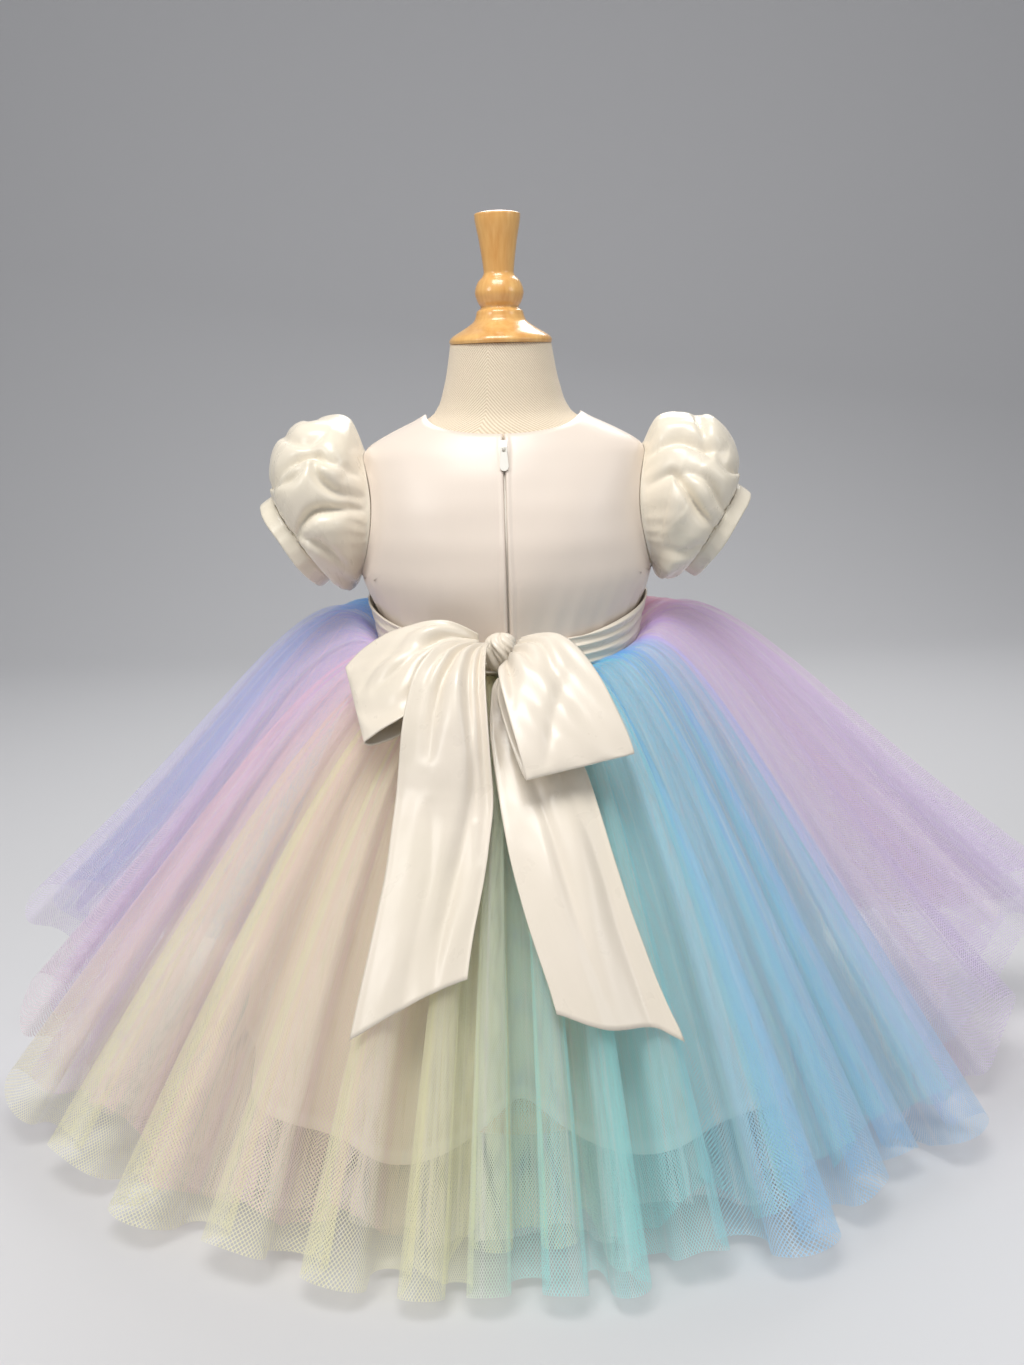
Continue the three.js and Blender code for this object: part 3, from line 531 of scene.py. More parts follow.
# An even width of net for each flute, and the length from waist to hem
CLOTH_PER_FLUTE = 105.0
SKIRT_LENGTH = 405.0
NET_CELL = 1.5
LAYERS = {
    "outer": {
        "depth": 0.0, "drawn_in": 0.0, "fold": 20, "inward": 0.0, "seed": 1.0,
        "short": 0.0, "shift": 0.0, "omega": 0.135, "gores": GORES,
    },
    "middle": {
        "depth": 0.8, "drawn_in": 8.0, "fold": 18, "inward": 5.0, "seed": 4.2,
        "short": 0.05, "shift": 0.04, "omega": 0.12, "gores": MIDDLE_GORES,
    },
    "inner": {
        "depth": 1.6, "drawn_in": 36.0, "fold": 14, "inward": 11.0, "seed": 7.7,
        "short": 0.02, "shift": 0.04, "omega": 0.12, "gores": [(0, 0, "blush")],
    },
}
# Creases per flute, where each family starts, how far it strays, its half width in mm and its strength. The
# creases thicken the net's threads, and pale its colour there as painted highlight.
CREASES = [
    (1, 0.24, 0.03, 1.2, 1.0), (1, 0.76, 0.03, 1.2, 1.0), (1, 0.5, 0.06, 1.1, 0.7),
    (1, 0.38, 0.2, 1.0, 0.8), (2, 0.1, 0.3, 0.9, 0.7), (3, 0.4, 0.3, 0.9, 0.5),
]
KEPT_FLUTES = 3.4             # folds on each side of the middle of the back that carry the bow's tails


def closed_round(gores):
    return gores + [(gores[0][0] + FLUTE_COUNT, gores[0][1] + FLUTE_COUNT, "")]


def net_tint(cloth, down, gores):
    """The net's colour at places of a layer: each panel's own, running into the next one at its edge."""
    closed = closed_round(gores)
    total, weights = 0.0, 0.0
    for start, end in zip(closed, closed[1:]):
        near, far = (linear(colour)[:3] for colour in TULLE_COLOURS[start[2]])
        saturated = ((1 - down) ** 1.6)[..., None]
        colour = mix(np.array(far), np.array(near), saturated)
        middle = mix((start[0] + end[0]) / 2, (start[1] + end[1]) / 2, down)
        half = mix((end[0] - start[0]) / 2, (end[1] - start[1]) / 2, down)
        away = np.abs((cloth - middle + FLUTE_COUNT / 2) % FLUTE_COUNT - FLUTE_COUNT / 2)
        soft = mix(0.45, 0.16, down)
        weight = 1 / (1 + np.exp(np.clip((away - half) / soft, -30, 30)))
        total = total + colour * weight[..., None]
        weights = weights + weight
    colour = total / weights[..., None]
    return np.concatenate([colour, np.ones_like(colour[..., :1])], -1)


def tulle_sheet(layer, first, last, rows, columns_per_flute, ring=False):
    """Points, map, density and tint of a tulle panel between two sets of flute places, (waist, hem) each."""
    facts = LAYERS[layer]
    seed = facts["seed"]
    width = max(last[0] - first[0], last[1] - first[1])
    columns = int(round(width * columns_per_flute))
    share = np.arange(columns) / columns if ring else steps(columns)
    down = np.append(0.996 * steps(rows - 1) ** 0.9, 1)[:, None]
    cloth = mix(mix(first[0], first[1], down), mix(last[0], last[1], down), share[None, :])
    reach_down = down * (1 - facts["short"] * (0.6 + 0.4 * wander(cloth, FLUTE_COUNT, seed, (9, 17, 31))))
    reach_down = np.minimum(reach_down, 1)
    from_back = np.abs((cloth + FLUTE_COUNT / 2) % FLUTE_COUNT - FLUTE_COUNT / 2)
    kept = 1 / (1 + np.exp((from_back - KEPT_FLUTES) * 6))
    stray = 0.1 * wander(cloth, FLUTE_COUNT, 3.0, (7, 11, 19))
    stray = (1 - 0.7 * kept) * (stray + facts["shift"] * wander(cloth, FLUTE_COUNT, seed + 2, (7, 11, 19)))
    shifted = cloth + stray
    omega = facts["omega"] * reach_down ** 0.8 * (1 + 0.3 * wander(cloth, FLUTE_COUNT, seed + 1, (5, 9, 16)))
    flute = shifted + omega * np.sin(4 * np.pi * shifted) - 0.03 * reach_down * np.sin(2 * np.pi * shifted)
    deep = 1.0 + 0.18 * wander(cloth, FLUTE_COUNT, 3.0, (3, 6, 11))
    lowered = 0.65 * (1 - kept) * np.clip(wander(cloth, FLUTE_COUNT, 6.0, (8, 13, 21)), 0, 1)
    wave = -np.cos(2 * np.pi * shifted)
    out = facts["fold"] * reach_down ** 1.1 * ((wave - 1) * deep * reach_down ** 0.45 + 0.5 - lowered)
    out = out - facts["inward"] * reach_down ** 0.8
    crease = np.abs(np.sin(2 * np.pi * (2.5 * cloth + 0.35 * wander(cloth, FLUTE_COUNT, seed, (13, 23)))))
    out -= 2.2 * (1 - crease) * np.sin(np.pi * reach_down) ** 0.7
    gather = np.cos(2 * np.pi * (7 * cloth + 0.6 * wander(cloth, FLUTE_COUNT, seed + 5, (19, 37))))
    out += 1.5 * (gather - 1) * (1 - reach_down) ** 4 * np.minimum(1, reach_down * 30)
    points = skirt_place(flute, reach_down, out, facts["depth"], facts["drawn_in"])
    spread = np.stack([cloth * CLOTH_PER_FLUTE, -down * SKIRT_LENGTH + 0 * cloth], -1)
    if ring:
        extra = spread[:, :1] + np.array([FLUTE_COUNT * CLOTH_PER_FLUTE, 0])
        spread = np.concatenate([spread, extra], 1)
    density = 0.62 * (1 - reach_down) ** 1.3 + 0.0 * cloth
    creased = 0.0 * cloth
    for count, offset, strays, half, strength in CREASES:
        strayed = strays * wander(cloth, FLUTE_COUNT, seed + count + offset, (11, 21, 33))
        where = shifted * count - offset + strayed
        line = np.abs((where + 0.5) % 1 - 0.5) / count * CLOTH_PER_FLUTE
        chosen = np.clip(0.7 + 0.5 * wander(np.round(where), 97, seed + offset, (13, 29)), 0, 1)
        creased = creased + strength * chosen * np.exp(-(line / half) ** 2)
    density = density + creased
    density = np.maximum(density, 0.6 * np.exp(-((1 - down) * SKIRT_LENGTH / 0.8) ** 2))
    tint = net_tint(cloth, reach_down, facts["gores"])
    # Painted highlight: the net's colour is paled towards white along the creases, where folded net catches
    # the light.
    tint = mix(tint, 1.0, 0.7 * np.clip(creased, 0, 1)[..., None])
    marks = {"density": np.clip(density, 0, 1), "tint": tint}
    return points, spread, marks


def panels(layer, rows, columns_per_flute, thread):
    """One layer's panels, each hanging over the layer below it."""
    gores = LAYERS[layer]["gores"]
    closed = closed_round(gores)
    look = tulle(f"tulle_{layer}_net", thread)
    for number, (start, end) in enumerate(zip(closed, closed[1:]), 1):
        points, spread, marks = tulle_sheet(layer, start[:2], end[:2], rows, columns_per_flute)
        piece = grid_piece(f"tulle_{layer}_{number:02d}", points, look, spread, marks=marks)
        nodes = (f"tulle_over_{number:02d}",) if layer == "outer" else ()
        settle(piece, f"tulle_{start[2]}", *nodes)


def inner_skirt():
    points, spread, marks = tulle_sheet("inner", (0, 0), (FLUTE_COUNT, FLUTE_COUNT), 38, 38, ring=True)
    piece = grid_piece("tulle_inner", points, tulle("tulle_inner_net", 0.2), spread, ring=True, marks=marks)
    settle(piece, "tulle_inner", "tulle_under")


LINING = {
    "inset": 2.64, "reach": 203, "hem": 33, "valley": 88, "valley_width": 15, "folds": 9, "fold_depth": 9,
}
HEM_BAND = 9.0


def lining():
    azimuth = (np.arange(300) / 300 * 360)[None, :]
    down = 1 - (1 - steps(52)[:, None]) ** 1.5
    turn = np.radians(azimuth)
    from_back = (azimuth + 180) % 360 - 180
    valley = LINING["valley"] * np.exp(-(from_back / LINING["valley_width"]) ** 2)
    ripple = LINING["fold_depth"] * np.cos(LINING["folds"] * turn + np.pi)
    ripple = ripple + 2.5 * wander(azimuth, 360, 2.0, (5, 8, 13)) * down
    reach = LINING["reach"] - valley + ripple
    width, depth = WAIST_HALF_WIDTH - LINING["inset"], WAIST_HALF_DEPTH - LINING["inset"]
    spread = 1 - (1 - down) ** 1.3
    drop = down ** 1.15
    x = mix(width, reach, spread) * np.sin(turn)
    y = -mix(depth, reach, spread) * np.cos(turn)
    z = mix(waist_height(azimuth) - LINING["inset"], LINING["hem"], drop) + 0 * turn
    points = np.stack([x, y, z], -1)
    height = 310.0
    from_hem = (1 - down) * height + 0 * azimuth
    mark = 1 / (1 + np.exp(np.clip((from_hem - HEM_BAND) * 3, -30, 30)))
    stitched = -0.35 * np.exp(-((from_hem - HEM_BAND) / 0.8) ** 2)
    points = points + normals(points, True) * (0.5 * mark + stitched)[..., None]
    columns = np.arange(301) / 300
    spread_map = spread_over((columns * 1300)[None, :], -down * height)
    look = Look("lining_satin", (236, 226, 212), roughness=0.5)
    look.shader.inputs["Sheen Weight"].default_value = 0.2
    look.tint(look.attribute("band"), (226, 216, 202), (246, 240, 230))
    look.bump(look.noise(look.uv(), 30, 3), 0.0012, 0.5)
    look.bump(look.noise(look.uv(), 1100, 1, (1, 0.2, 1)), 0.00006, 0.5)
    marks = {"band": mark}
    piece = grid_piece("lining_bell", points, look.material, spread_map, ring=True, wall=0.5, marks=marks)
    settle(piece, "lining", "skirt_lining")


# The bodice
def torso_point(azimuth, z, out=0.0):
    turn = np.radians(azimuth)
    width = smooth_between(TORSO, "half_width", z) + out
    depth = smooth_between(TORSO, "half_depth", z) + out
    return np.stack(np.broadcast_arrays(width * np.sin(turn), -depth * np.cos(turn), z), -1)


def panel_reach(z):
    middle = (ARMHOLE["low"] + ARMHOLE["high"]) / 2
    place = (z - middle) / (ARMHOLE["high"] - middle)
    return 90 - ARMHOLE["cut"] * np.sqrt(np.maximum(0, 1 - place ** 2))


def bodice_panel(name, node, first, last, centre, neck, columns, look):
    share = steps(columns)[None, :]
    down = steps(64)[:, None]
    across = mix(first, last, share)
    neckline = mix(neck, SHOULDER, np.sin(np.abs(across) * np.pi / 2) ** 2)
    z = mix(neckline, waist_height(centre + 90 * across) + SEAM, down)
    trim = (0.28 - 0.12 * np.abs(across)) * (1 - 2 * share)
    azimuth = centre + panel_reach(z) * across + trim
    out = 0.0 * z
    low = np.clip((down - 0.55) / 0.45, 0, 1)
    out = out + 0.9 * low ** 1.5 * wander(azimuth + 20 * down, 360, 1.3, (17, 26, 41)) * (1 - 0.5 * low)
    out = out + 0.8 * wander(azimuth * 0.7 + 90 * down, 360, 2.1, (3, 5, 8))
    out = out - 0.9 * np.exp(-((np.abs(across) - 0.93) / 0.08) ** 2) * np.sin(np.pi * down)
    if abs(last - first) < 1.5:
        from_slit = np.abs(across) * 157
        lip = 0.7 * np.exp(-((from_slit - 2.2) / 1.7) ** 2) - 0.8 * np.exp(-(from_slit / 0.8) ** 2)
        out = out + lip - 0.25 * np.exp(-((from_slit - 5.5) / 1.2) ** 2)
    edge = np.exp(-(down * 150 / 1.2) ** 2)
    points = torso_point(azimuth, z, out - 0.5 * edge)
    spread = spread_over(azimuth * 1.5, z)
    piece = grid_piece(name, points, look, spread, wall=1.4)
    settle(piece, "satin_bodice", node)


def bodice():
    look = satin("bodice_satin", IVORY, (227, 214, 201), 0.36, 0.2)
    bodice_panel("bodice_front_cloth", "bodice_front", -1, 1, 180, 466, 110, look)
    bodice_panel("bodice_back_right_cloth", "bodice_back_right", 0, 1, 0, 477, 120, look)
    bodice_panel("bodice_back_left_cloth", "bodice_back_left", -1, 0, 0, 477, 120, look)


def sash(look):
    azimuth = np.arange(240)[None, :] * 1.5
    down = steps(36)[:, None]
    from_knot = (azimuth + 4 + 180) % 360 - 180
    near = np.exp(-(from_knot / 34) ** 2)
    z = mix(sash_top(azimuth), waist_height(azimuth) + 3 * SEAM, down)
    pleats = np.cos(2 * np.pi * (3.1 * down + 0.25 * wander(azimuth, 360, 1.9, (2, 3, 5))))
    fine = np.cos(2 * np.pi * (6.5 * down + 0.3 * wander(azimuth, 360, 4.9, (3, 4, 7))))
    out = 3.6 + 0.9 * pleats * (0.7 + 0.8 * near) + 0.4 * fine * (0.4 + near)
    out = out - 1.3 * np.exp(-(down / 0.05) ** 2) - 1.1 * np.exp(-((1 - down) / 0.05) ** 2)
    points = torso_point(azimuth, z, out)
    columns = np.arange(241) * 2.2
    spread = spread_over(columns[None, :], -down * 40)
    piece = grid_piece("sash_folds", points, look, spread, ring=True, wall=1.2)
    settle(piece, "satin_sash", "sash_band")


# The sleeves. Each deep fold on the back of a puff is a line of (x, z) places, and the lobe of cloth beside
# it hangs on the left of the line's direction.
PUFF_FOLDS = {
    "right": [
        ([(88, 450), (104.7, 464.9), (117.7, 470.1), (132.1, 465.6), (152, 459)], 6.0, 3.8),
        ([(128, 512), (132.9, 485), (134.4, 473), (140, 455)], 4.2, 2.8),
        ([(148, 398), (139.1, 411), (128.3, 423.9), (119.1, 439.5), (113, 447.6), (104, 443), (90, 432)],
         6.6, 4.4),
        ([(164, 402), (151, 419), (143.7, 428), (139.1, 437), (132, 444.5), (118, 450)], 5.6, 3.6),
        ([(148, 412), (136, 404.5), (129.8, 399.3), (117.5, 395.7), (102, 397)], 3.6, 2.2),
        ([(176, 441), (160, 446), (150, 450), (142, 460)], 4.4, 3.0),
    ],
    "left": [
        ([(168, 438), (148, 456), (136.5, 463.3), (126.4, 466.3), (116.1, 459.7), (96, 452)], 6.2, 4.0),
        ([(94, 438), (108, 440), (118, 446), (125, 454), (125, 468)], 5.6, 3.4),
        ([(172, 440), (152, 447), (140, 451), (130, 460)], 4.6, 2.8),
        ([(146, 404), (135, 422), (125, 429.5), (107.1, 429.5), (88, 433)], 6.6, 4.4),
        ([(88, 492), (97.3, 472), (102.6, 458), (108, 446)], 4.4, 2.8),
        ([(148, 415), (130, 410), (119, 402), (106, 386)], 3.8, 2.4),
        ([(170, 482), (146, 476), (130, 474), (116, 480)], 3.4, 2.4),
    ],
}


def line_distance(u, v, line):
    """Distance of places from a line through points, above zero on the left of its direction, and the
    share of the way along it."""
    smooth = [np.array([along([point[k] for point in line], place) for k in (0, 1)])
              for place in np.linspace(0, 1, 5 * len(line))]
    nearest, side, way = np.full(np.shape(u), 1e6), np.ones(np.shape(u)), np.zeros(np.shape(u))
    for index, (start, end) in enumerate(zip(smooth, smooth[1:])):
        run = end - start
        share = np.clip(((u - start[0]) * run[0] + (v - start[1]) * run[1]) / (run @ run), 0, 1)
        across, up = u - start[0] - share * run[0], v - start[1] - share * run[1]
        away = np.hypot(across, up)
        closer = away < nearest
        nearest = np.where(closer, away, nearest)
        side = np.where(closer, np.where(run[0] * up - run[1] * across < 0, -1, 1), side)
        way = np.where(closer, (index + share) / (len(smooth) - 1), way)
    return nearest * side, way


def fold_lift(u, v, folds, sharp, soft):
    """Height of cloth over its base where folds lie: a valley on each line and a lobe on its left."""
    total = 0.0
    for line, depth, lobe in folds:
        away, way = line_distance(u, v, line)
        fade = np.clip(np.sin(np.pi * way), 0, 1) ** 0.8
        valley = depth * np.exp(-(away / sharp) ** 2) + 0.4 * depth * np.exp(-(away / (3 * sharp)) ** 2)
        swell = np.where(away > 0, away / soft * np.exp(1 - away / soft), 0)
        total = total + fade * (lobe * swell - valley)
    return total


def puff_points(side):
    other = {"right": "left", "left": "right"}[side]
    sink = {"right": 7, "left": 2}[side]
    seed = {"right": 2.0, "left": 5.5}[side]
    to_back = {"right": -1, "left": 1}[side]
    angle = ring_angles(220)
    out = steps(88)[:, None]
    top_x, top_z, low_x, low_z, half_depth = (along(PUFF[key], out) for key in PUFF)
    settled = top_z - sink * np.sin(np.pi * np.minimum(1, out * 1.2))
    up = (1 + np.cos(angle)) / 2
    puffed = np.stack(np.broadcast_arrays(
        mix(low_x, top_x, up), half_depth * np.sin(angle), mix(low_z, settled, up)), -1)
    centre = np.stack(np.broadcast_arrays((top_x + low_x) / 2, 0.0, (settled + low_z) / 2), -1)
    radial = unit(puffed - centre)
    bell = np.sin(np.pi * out)
    back = 1 / (1 + np.exp(-10 * to_back * np.sin(angle)))
    lift = 0.0
    for share, folds in ((back, PUFF_FOLDS[side]), (1 - back, PUFF_FOLDS[other])):
        lift = lift + share * fold_lift(puffed[..., 0], puffed[..., 2], folds, 3.4, 7.5)
    broad = wander(angle + 0.6 * np.sin(3 * out + seed), 2 * np.pi, seed, (3, 5, 7))
    pleats = np.cos(27 * angle + 2.5 * np.sin(4 * angle + seed) + 1.5 * np.sin(5 * out))
    fine = np.cos(47 * angle + 2 * np.sin(5 * angle + seed))
    long_ends = np.exp(-out / 0.16) + np.exp(-(1 - out) / 0.2)
    ends = np.exp(-(out / 0.07) ** 2) + np.exp(-((1 - out) / 0.09) ** 2)
    gathers = (1.5 * pleats * (0.6 + 0.5 * broad) * long_ends + 0.5 * fine * ends) * np.minimum(1, out * 12)
    lift = 2.0 + lift * bell ** 0.45 + 1.6 * broad * bell + gathers
    puffed = puffed + radial * lift[..., None]
    z = mix(ARMHOLE["low"], ARMHOLE["high"], up)
    azimuth = 90 + (ARMHOLE["cut"] - 0.3) * np.sin(angle)
    sewn = torso_point(azimuth, mix(z, 424, 0.012))
    join = np.minimum(1, out * 6)[..., None]
    return mix(sewn, puffed, join)


def sleeves(look):
    for side, turn in (("right", 1), ("left", -1)):
        points = puff_points(side) * np.array([turn, turn, 1])
        columns = np.arange(221) / 220 * 300
        spread = spread_over(columns[None, :], -steps(88)[:, None] * 110)
        piece = grid_piece(f"sleeve_puff_{side}", points, look, spread, ring=True, wall=0.9)
        settle(piece, "satin_sleeve", f"sleeve_{side}")
        cuff(side, turn, look)


def cuff(side, turn, look):
    outlet = {key: PUFF[key][-1] for key in PUFF}
    rise = unit(np.array([outlet["top_x"] - outlet["low_x"], 0, outlet["top_z"] - outlet["low_z"]], float))
    arm = np.array([rise[2], 0, -rise[0]])
    middle = np.array([(outlet["top_x"] + outlet["low_x"]) / 2, 0, (outlet["top_z"] + outlet["low_z"]) / 2])
    angle = ring_angles(140)
    down = steps(22)[:, None]
    uneven = 0.25 * wander(angle, 2 * np.pi, 3.0, (9, 14, 23))
    roll = 1.3 * np.sqrt(np.clip(1 - (2 * down - 1) ** 6, 0, 1)) + uneven
    radius = CUFF["radius"] - 0.5 + roll - 0.35 * np.exp(-((down - 0.12) / 0.03) ** 2)
    tip = 0.5 * wander(angle, 2 * np.pi, 1.0, (2, 5))
    points = middle + arm * (SEAM + CUFF["width"] * down + tip * down)[..., None]
    points = points + rise * (radius * np.cos(angle))[..., None]
    points = points + np.array([0, 1, 0]) * (radius * np.sin(angle))[..., None]
    points = points * np.array([turn, turn, 1])
    columns = np.arange(141) / 140 * 220
    spread = spread_over(columns[None, :], -down * 13)
    piece = grid_piece(f"cuff_fold_{side}", points, look, spread, ring=True, wall=CUFF["wall"] - 0.4)
    settle(piece, "satin_sleeve", f"cuff_{side}")


# The bow. Each piece's folds are lines over its cloth in mm: across it, and out from the knot.
LOOP_FOLDS = {
    "left": [
        ([(6, -30), (10, 2), (20, 26), (36, 48), (44, 80)], 3.8, 3.0),
        ([(30, -30), (34, 0), (40, 24), (52, 40), (74, 48)], 3.8, 3.0),
        ([(54, -30), (56, 2), (59, 22), (72, 38)], 3.0, 2.0),
        ([(36, 96), (26, 70), (14, 50), (2, 40)], 1.6, 1.6),
    ],
    "right": [
        ([(16, -30), (18, 0), (20, 20), (30, 48)], 3.2, 2.2),
        ([(38, -30), (38, 0), (38, 18), (44, 40)], 3.0, 2.2),
        ([(54, -30), (56, 0), (60, 26), (72, 58)], 2.8, 2.0),
        ([(62, 104), (52, 80), (36, 60), (16, 50)], 1.4, 1.8),
    ],
}
TAIL_FOLDS = {
    "left": [
        ([(46, -60), (47, 0), (49, 50), (53, 100), (57, 165)], 4.6, 3.4),
        ([(61, -60), (61, 0), (63, 60), (67, 120), (68, 190)], 3.6, 2.6),
        ([(34, -60), (30, 0), (26, 40), (21, 84), (20, 130)], 4.2, 3.2),
        ([(14, -40), (12, 10), (9, 60), (9, 130)], 2.4, 1.8),
        ([(58, 120), (48, 170), (44, 215), (48, 290)], 1.8, 2.2),
        ([(20, 150), (27, 200), (24, 290)], 1.0, 1.4),
    ],
    "right": [
        ([(18, -50), (20, 0), (24, 50), (32, 120)], 2.8, 2.2),
        ([(66, -20), (62, 40), (58, 90), (50, 150)], 2.2, 2.0),
        ([(22, 110), (32, 170), (36, 220), (34, 290)], 1.6, 1.8),
        ([(54, 130), (62, 190), (60, 240), (54, 310)], 1.4, 1.6),
    ],
}


def loop_points(rows, facing, seed, folds):
    run = steps(96)[:, None]
    share = steps(52)[None, :]
    swing = mix(0.02, 1.98, run) * (np.pi / 2)
    out = np.sin(swing)
    a, b = (np.stack([along([row[k][axis] for row in rows], out) for axis in range(3)], -1) for k in (0, 1))
    middle = mix(a, b, share[..., None])
    loft = along([row[2] for row in rows], out)
    round_off = np.cos(swing) * (0.7 + 0.3 * np.sin(np.pi * share))
    near = np.exp(-(out / 0.3) ** 2)
    pleat = np.cos(2 * np.pi * (4.2 * share + 0.2 * np.sin(3 * out + seed)))
    soft = wander(share * 1.3 + 0.6 * out + 0.2 * run, 2, seed, (2, 3, 5))
    lift = loft * round_off + 1.7 * near * pleat + 1.6 * soft * np.sin(np.pi * np.clip(out, 0, 1)) ** 0.5
    across, outward = share * 75 + 0 * out, out * 110 + 0 * share
    face = np.sign(np.cos(swing)) * (0.35 + 0.65 / (1 + np.exp(-8 * np.cos(swing))))
    lift = lift + face * fold_lift(across, outward, folds, 4.6, 10.0) * np.abs(np.cos(swing)) ** 0.5
    return middle + np.array(facing) * lift[..., None]


def tail_points(rows, cut, seed, folds, hollow):
    run = steps(108)[:, None]
    share = steps(52)[None, :]
    start = rows[0][0]
    low = mix(cut[0], cut[1], share) - hollow * 4 * share * (1 - share)
    down = mix(start, low, run)
    table = np.array(rows)
    shifts = (-0.02, 0, 0.02)
    left, right, above = (
        sum(np.interp(down + shift, table[:, 0], table[:, k]) for shift in shifts) / 3 for k in (1, 2, 3))
    flute = mix(left, right, share)
    ends = np.exp(-((down - start) / 0.06) ** 2)
    pleat = 0.5 + 0.5 * np.cos(2 * np.pi * (3.4 * share + 0.12 * np.sin(9 * down + seed)))
    broad = 0.5 + 0.35 * wander(share + 1.6 * down, 2, seed, (2, 3, 5))
    free = np.clip((down - start) / 0.1, 0, 1)
    rest = 2.4 + fold_lift(share * 75 + 0 * down, (down - start) * SKIRT_LENGTH + 0 * share, folds, 5.5, 12.0)
    rest = rest + 2.6 * broad * np.sin(np.pi * share) ** 0.5
    floor = -0.6 * above - 0.5
    rest = floor + 1.5 * np.log1p(np.exp(np.clip((rest - floor) / 1.5, -30, 30)))
    lift = 1.3 + above + 3.0 * ends * pleat * free + rest * free
    curl = 1.0 * (np.exp(-(share / 0.03) ** 2) + np.exp(-((1 - share) / 0.03) ** 2)) * free
    crest = 20 * down ** 1.1 * 0.5
    return skirt_place(flute, down, crest + lift + curl)


def bow(look):
    out_left = unit(np.array([-0.1, -0.55, 0.83]))
    out_right = unit(np.array([0.12, -0.5, 0.85]))
    loops = (("left", LOOP_LEFT, out_left, 1.0, True), ("right", LOOP_RIGHT, out_right, 2.6, False))
    for side, rows, facing, seed, flip in loops:
        points = loop_points(rows, facing, seed, LOOP_FOLDS[side])
        if flip:
            points = points[:, ::-1]
        spread = spread_over(steps(52)[None, :] * 75, -steps(96)[:, None] * 230)
        piece = grid_piece(f"bow_{side}_loop", points, look, spread, wall=0.9)
        settle(piece, "satin_sash", f"bow_loop_{side}")
    tails = (("left", TAIL_LEFT, CUT_LEFT, 0.7, 0.014), ("right", TAIL_RIGHT, CUT_RIGHT, 3.1, 0.006))
    for side, rows, cut, seed, hollow in tails:
        points = tail_points(rows, cut, seed, TAIL_FOLDS[side], hollow)
        spread = spread_over(steps(52)[None, :] * 75, -steps(108)[:, None] * 300)
        piece = grid_piece(f"bow_{side}_tail", points, look, spread, wall=0.9)
        settle(piece, "satin_sash", f"bow_tail_{side}")


def knot(look):
    up = (steps(64) * np.pi)[:, None]
    angle = ring_angles(132)
    twist = angle + 0.9 * np.cos(up)
    ridge = np.abs(np.cos(2.5 * twist + 0.5 * np.sin(2 * angle))) ** 0.7
    fine = np.cos(13 * twist + 1.4 * np.sin(3 * up))
    pinch = 0.84 + 0.2 * ridge + 0.035 * fine * np.sin(up)
    flat = 1 - 0.1 * np.exp(-((up - np.pi / 2) / 0.5) ** 2)
    half = KNOT["half"]
    points = np.stack(np.broadcast_arrays(
        half[0] * np.sin(up) ** 0.8 * np.sin(angle) * pinch * flat,
        -half[1] * np.sin(up) ** 0.8 * np.cos(angle) * pinch,
        half[2] * np.cos(up) * (0.93 + 0.07 * ridge)), -1) + np.array(KNOT["place"])
    spread = spread_over((np.arange(133) / 132 * 70)[None, :], -steps(64)[:, None] * 45)
    piece = grid_piece("bow_knot_wrap", points, look, spread, ring=True)
    settle(piece, "satin_sash", "bow_knot")


# What the dress stands on
def form():
    z = np.concatenate([[225.0], np.linspace(225.0, 535.7, 104), [535.7]])[::-1][:, None]
    angle = ring_angles(144)
    width, depth = smooth_between(FORM, "half_width", z, 3), smooth_between(FORM, "half_depth", z, 3)
    width[0], depth[0], width[-1], depth[-1] = 0, 0, 0, 0
    seam = np.radians(-14)
    from_seam = (angle - seam + np.pi) % (2 * np.pi) - np.pi
    stitches = 0.45 * np.exp(-(from_seam * 38 / 0.7) ** 2)
    ridge = 0.35 * np.exp(-((np.abs(from_seam) * 38 - 1.6) / 1.2) ** 2) - stitches
    ridge = np.where(width > 0, ridge, 0)
    points = np.stack(np.broadcast_arrays(
        (width + ridge) * np.sin(angle), -(depth + ridge) * np.cos(angle), z + 0 * angle), -1)
    columns = ((np.arange(145) / 144 * 2 * np.pi) - seam + np.pi) % (2 * np.pi) - np.pi
    spread = spread_over((columns * 38)[None, :], z)
    piece = grid_piece("form_cover", points, twill("form_twill"), spread, ring=True)
    settle(piece, "form_cover", "form_body")


def turned(name, profile, look, slot, node, sides=96):
    """A turned piece from (radius, height) points, from its underside up and in to the axis."""
    profile = np.array(profile, float)[::-1]
    angle = ring_angles(sides)
    radius, height = profile[:, :1], profile[:, 1:]
    points = np.stack(np.broadcast_arrays(radius * np.sin(angle), -radius * np.cos(angle), height), -1)
    columns = np.arange(sides + 1) / sides * 200
    spread = spread_over(columns[None, :], height)
    piece = grid_piece(name, points, look, spread, ring=True)
    settle(piece, slot, node)
    return piece


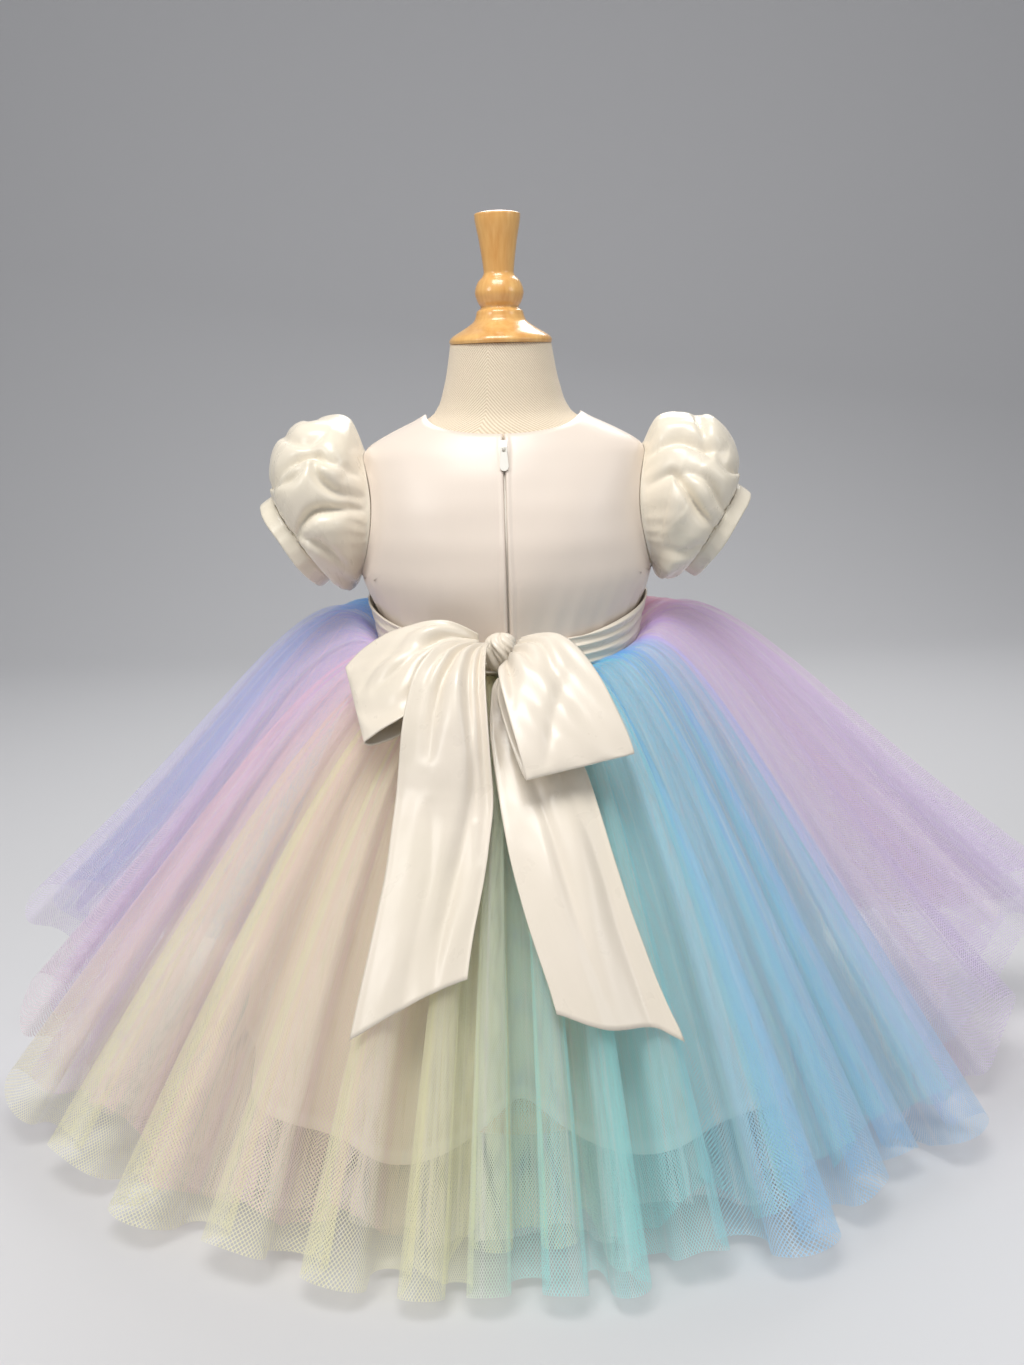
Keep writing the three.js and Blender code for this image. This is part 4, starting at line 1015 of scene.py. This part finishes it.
def stand():
    timber = wood("cap_beech")
    place = np.array(CAP["z"], float)
    fine = np.linspace(0, 1, 120)
    profile = [(0, place[0])] + [
        (float(r), float(z)) for r, z in zip(along(CAP["radius"], fine), along(place, fine))]
    profile[-1] = (0, place[-1])
    turned("neck_cap_turned", profile, timber, "wood", "neck_cap")
    base = [
        (0, 0), (97, 0), (99.5, 0.8), (100, 2.5), (100, 10.5), (98.8, 13.6), (96, 15.3), (92, 16), (0, 16)]
    turned("form_base_disc", base, timber, "wood", "form_base")
    steel = Look("pole_steel", (150, 150, 148), metallic=1.0, roughness=0.34)
    steel.bump(steel.noise(steel.place(), 700, 2, (1, 1, 0.03)), 0.00004, 0.5)
    pole = [(0, 16.4), (11, 16.4), (11, 224.6), (0, 224.6)]
    turned("form_pole_tube", pole, steel.material, "steel", "form_pole", 48)


def zip_pieces():
    z = np.linspace(461, 345, 160)[:, None]
    x = np.linspace(-5, 5, 21)[None, :]
    azimuth = np.degrees(np.arcsin(x / smooth_between(TORSO, "half_width", z)))
    coil = 0.5 * np.exp(-(x / 0.9) ** 2) * (0.7 + 0.3 * np.cos(2 * np.pi * z / 1.45))
    points = torso_point(azimuth, z, -2.2 + coil)
    spread = spread_over(x, z)
    tape = Look("zip_tape_weave", (226, 220, 208), roughness=0.75)
    tape.bump(tape.noise(tape.uv(), 1500, 1, (1, 0.3, 1)), 0.0001, 0.6)
    piece = grid_piece("zip_tape_strip", points, tape.material, spread, wall=0.5)
    settle(piece, "zip", "zip_tape")
    enamel = Look("zip_enamel", (240, 237, 228), roughness=0.22)
    enamel.shader.inputs["Coat Weight"].default_value = 0.4
    enamel.shader.inputs["Coat Roughness"].default_value = 0.1
    enamel.bump(enamel.noise(enamel.place(), 500, 2), 0.00004, 0.4)
    castings = (("zip_slider", "dress", "zip_slider_cast"), ("zip_pull", "pull_tab", "zip_pull_tab"))
    for node, body, name in castings:
        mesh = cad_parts[node].data.copy()
        mesh.materials.clear()
        mesh.materials.append(enamel.material)
        piece = linked(name, mesh)
        bevel = piece.modifiers.new("worn_edges", "BEVEL")
        bevel.width = 0.0002
        bevel.segments = 2
        bevel.angle_limit = math.radians(40)
        settle(piece, "zip", node, body=body)


camera()
studio()
ribbon = satin("sash_satin", (234, 223, 210), (226, 217, 198), 0.29, 0.7)
puff_cloth = satin("sleeve_satin", (234, 224, 209), (226, 218, 196), 0.28, 0.6)
form()
stand()
bodice()
sash(ribbon)
lining()
inner_skirt()
panels("middle", 40, 40, 0.17)
panels("outer", 50, 72, 0.19)
sleeves(puff_cloth)
knot(ribbon)
bow(ribbon)
zip_pieces()

bpy.context.scene.view_settings.view_transform = "Standard"
if hasattr(bpy.context.scene, "cycles"):
    bpy.context.scene.cycles.transparent_max_bounces = 64
